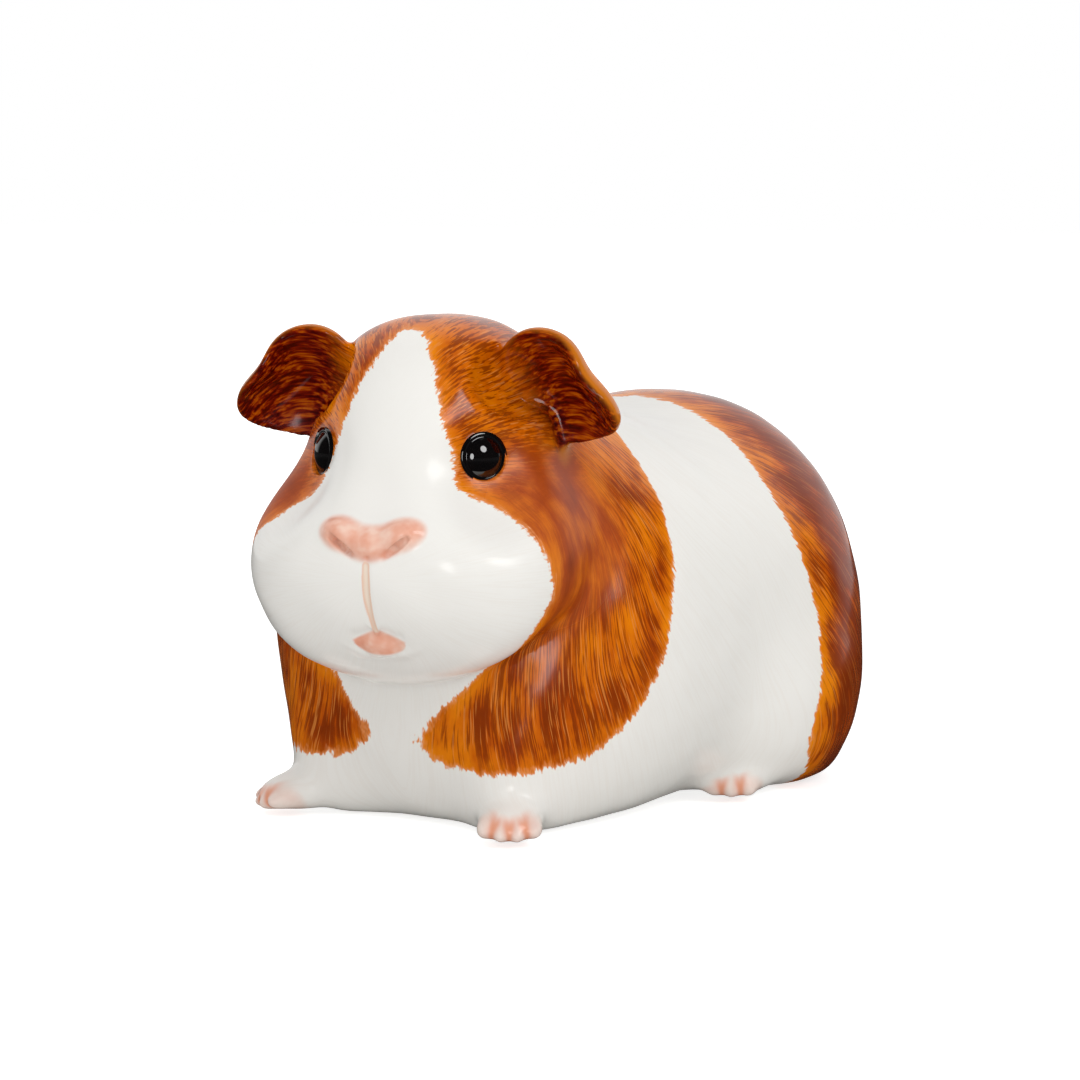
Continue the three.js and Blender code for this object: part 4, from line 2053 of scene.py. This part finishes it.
@dataclass(frozen=True)
class PaleFloor:
    """Matt pale paper, lit from within so that it runs into the white behind it.

    Attributes:
        paper: its tones.
        near: metres from the middle at which it begins to be all light.
        far: metres at which it is.
        glow: how strongly it shines below the animal and far away.
        lift: how much more the camera gets, so that shadows on it stay faint.
    """

    paper: Stops = ((0.3, "dededd"), (0.7, "e4e4e3"))
    near: float = 0.15
    far: float = 0.9
    glow: tuple[float, float] = (0.12, 1.0)
    lift: float = 0.6

    def build(self) -> bpy.types.Material:
        """Makes the material, which is all but dark in the glaze's mirror.

        Returns:
            The material.
        """
        recipe = Recipe("pale_floor")
        place = recipe.place()
        paper = recipe.ramp(recipe.noise(place, 30.0), self.paper)
        away = recipe.result("ShaderNodeVectorMath", place, out=1, operation="LENGTH")
        away = recipe.between(away, self.near, self.far)
        mirrored = recipe.node("ShaderNodeLightPath").outputs["Is Glossy Ray"]
        dull = recipe.calc("MAXIMUM", away, recipe.calc("MULTIPLY", mirrored, 0.98))
        tone = recipe.colour(dull, paper, linear("000000"))
        recipe.feed(recipe.shader.inputs["Base Color"], tone)
        recipe.gloss(0.9, 1.3, 0.0)
        recipe.shader.inputs["Emission Color"].default_value = (1.0, 1.0, 1.0, 1.0)
        glow = recipe.between(away, 0.0, 1.0, *self.glow)
        unseen = recipe.calc("SUBTRACT", 1.0, recipe.calc("MULTIPLY", mirrored, 0.95))
        glow = recipe.calc("MULTIPLY", glow, unseen)
        straight = recipe.node("ShaderNodeLightPath").outputs["Is Camera Ray"]
        glow = recipe.calc("MULTIPLY_ADD", straight, self.lift, glow)
        recipe.feed(recipe.shader.inputs["Emission Strength"], glow)
        return recipe.material


# ---------------------------------------------------------------------------------- studio


def facing(azimuth: float, elevation: float) -> Triple:
    """The turn of a lamp or camera that looks at the middle from an azimuth and a height."""
    return math.radians(90.0 - elevation), 0.0, math.radians(azimuth)


@dataclass(frozen=True)
class Lamp:
    """A soft lamp that faces the animal.

    Attributes:
        name: its name.
        azimuth: degrees from the front towards the animal's left.
        elevation: degrees above the floor.
        away: metres from the animal.
        size: width and height in metres.
        watts: power.
        round: whether it is a disc rather than a rectangle.
        seen: whether the glaze mirrors it; it doesn't if the lamp stands for scattered light.
    """

    name: str
    azimuth: float
    elevation: float
    away: float
    size: tuple[float, float]
    watts: float
    round: bool = False
    seen: bool = True

    def build(self, aim: Array) -> None:
        """Hangs the lamp.

        Args:
            aim: the point that it faces.
        """
        light = bpy.data.lights.new(self.name, "AREA")
        light.shape = "ELLIPSE" if self.round else "RECTANGLE"
        light.size, light.size_y = self.size
        light.energy = self.watts
        lamp = bpy.data.objects.new(self.name, light)
        lamp.visible_glossy = self.seen
        lamp.location = aim + direction(self.azimuth, self.elevation) * self.away
        lamp.rotation_euler = facing(self.azimuth, self.elevation)
        bpy.context.scene.collection.objects.link(lamp)


@dataclass(frozen=True)
class Studio:
    """Floor, lamps, surroundings and camera.

    Attributes:
        azimuth: degrees by which the camera stands to the animal's left of its front.
        elevation: degrees above the floor.
        away: metres from the camera to the point that it faces.
        aim: that point.
        lens: focal length in millimetres.
        shift: how far the frame is moved sideways and upwards.
        floor_reach: half the width of the floor in metres.
        floor_drop: how far it lies below the base.
        scattered: strength of the light scattered from the floor's edge and from above.
        sheen_height: degrees above the floor of the middle of the bright side, behind the animal.
        sheen: cosines of the angle from the camera at which that light begins and is whole, and
            its strength before and after.
        lamps: the lamps.
    """

    azimuth: float = 36.36
    elevation: float = 6.71
    away: float = 0.8
    aim: Triple = (0.0, -0.005, 0.05)
    lens: float = 113.33
    shift: tuple[float, float] = (-0.0022, 0.0397)
    floor_reach: float = 8.0
    floor_drop: float = 0.0002
    scattered: tuple[float, float] = (0.49, 0.67)
    sheen_height: float = 12.0
    sheen: tuple[float, float, float, float] = (-0.33, -0.62, 0.02, 0.85)
    lamps: tuple[Lamp, ...] = (
        Lamp("umbrella_above", 76.0, 33.0, 1.2, (0.48, 0.48), 2.9, round=True),
        Lamp("umbrella_side", 27.0, 8.0, 1.2, (0.28, 0.44), 1.5, round=True),
        Lamp("softbox_top", 200.0, 72.0, 1.1, (1.1, 1.1), 0.4),
        Lamp("scattered_front", 20.0, 52.0, 1.1, (0.9, 0.9), 1.9, seen=False),
    )

    def floor(self) -> None:
        """Lays a wide flat floor."""
        corners = np.array([[-1, -1, 0], [1, -1, 0], [1, 1, 0], [-1, 1, 0]]) * self.floor_reach
        corners[:, 2] = -self.floor_drop
        piece = add_object(to_mesh("pale_floor", corners, [[0, 1, 2, 3]]))
        piece.data.materials.append(PaleFloor().build())

    def surroundings(self) -> None:
        """Surrounds the scene with light.

        The camera sees white. Scattered light grows evenly from the floor up. The glaze
        mirrors a room that is dark behind the camera and bright behind the animal.
        """
        world = bpy.data.worlds.new("surroundings")
        bpy.context.scene.world = world
        world.use_nodes = True
        tree = world.node_tree
        tree.nodes.clear()
        coordinate = tree.nodes.new("ShaderNodeTexCoord")
        dot = tree.nodes.new("ShaderNodeVectorMath")
        dot.operation = "DOT_PRODUCT"
        dot.inputs[1].default_value = tuple(direction(self.azimuth, -self.sheen_height))
        tree.links.new(coordinate.outputs["Generated"], dot.inputs[0])
        band = tree.nodes.new("ShaderNodeMapRange")
        band.interpolation_type = "SMOOTHSTEP"
        for socket, value in zip(list(band.inputs)[1:5], self.sheen):
            socket.default_value = value
        tree.links.new(dot.outputs["Value"], band.inputs[0])
        height = tree.nodes.new("ShaderNodeSeparateXYZ")
        tree.links.new(coordinate.outputs["Generated"], height.inputs[0])
        from_above = tree.nodes.new("ShaderNodeMapRange")
        for socket, value in zip(list(from_above.inputs)[1:5], (0.0, 1.0, *self.scattered)):
            socket.default_value = value
        tree.links.new(height.outputs[2], from_above.inputs[0])
        path = tree.nodes.new("ShaderNodeLightPath")
        strength = band.outputs[0]
        for ray, value in (("Is Diffuse Ray", from_above.outputs[0]), ("Is Camera Ray", 1.0)):
            choose = tree.nodes.new("ShaderNodeMix")
            choose.data_type = "FLOAT"
            tree.links.new(path.outputs[ray], choose.inputs[0])
            tree.links.new(strength, choose.inputs[2])
            if isinstance(value, float):
                choose.inputs[3].default_value = value
            else:
                tree.links.new(value, choose.inputs[3])
            strength = choose.outputs[0]
        background = tree.nodes.new("ShaderNodeBackground")
        background.inputs["Color"].default_value = (1.0, 1.0, 1.0, 1.0)
        tree.links.new(strength, background.inputs["Strength"])
        output = tree.nodes.new("ShaderNodeOutputWorld")
        tree.links.new(background.outputs[0], output.inputs[0])

    def camera(self) -> None:
        """Sets up the camera."""
        data = bpy.data.cameras.new("camera")
        data.lens = self.lens
        data.shift_x, data.shift_y = self.shift
        camera = bpy.data.objects.new("camera", data)
        camera.location = np.array(self.aim) + direction(self.azimuth, self.elevation) * self.away
        camera.rotation_euler = facing(self.azimuth, self.elevation)
        bpy.context.scene.collection.objects.link(camera)
        bpy.context.scene.camera = camera

    def build(self) -> None:
        """Sets the whole studio up."""
        bpy.context.scene.view_settings.view_transform = "Standard"
        self.camera()
        self.floor()
        self.surroundings()
        for lamp in self.lamps:
            lamp.build(np.array(self.aim))


# ------------------------------------------------------------------------------------ main


def main() -> None:
    """Builds the studio and the figurine piece by piece, and reports each one."""
    logging.basicConfig(level=logging.INFO, format="%(message)s")
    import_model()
    Studio().build()

    animal = Animal()
    animal.eye = find_eye(animal.turn)
    LOG.info("eye at %s looks along %s", animal.eye.at, animal.eye.axis)
    skin = Skin(animal, PaintPlan()).build()
    skin.data.materials.append(PaintedGlaze().build())
    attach(skin, BODY)
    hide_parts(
        "trunk", "head", "nose", "lip", "ear_left", "ear_right",
        "foreleg_left", "foreleg_right", "hindleg_left", "hindleg_right",
    )
    LOG.info("%s: %d points, %d faces", skin.name, len(skin.data.vertices), len(skin.data.polygons))

    black = BlackGlaze().build()
    eyes = Eyes(animal.eye, animal.turn)
    for side in Side:
        dome = eyes.build(side)
        dome.data.materials.append(black)
        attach(dome, BODY)
        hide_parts(f"eye_{side.value}")
        points, faces = len(dome.data.vertices), len(dome.data.polygons)
        LOG.info("%s: %d points, %d faces", dome.name, points, faces)


if __name__ == "__main__":
    main()
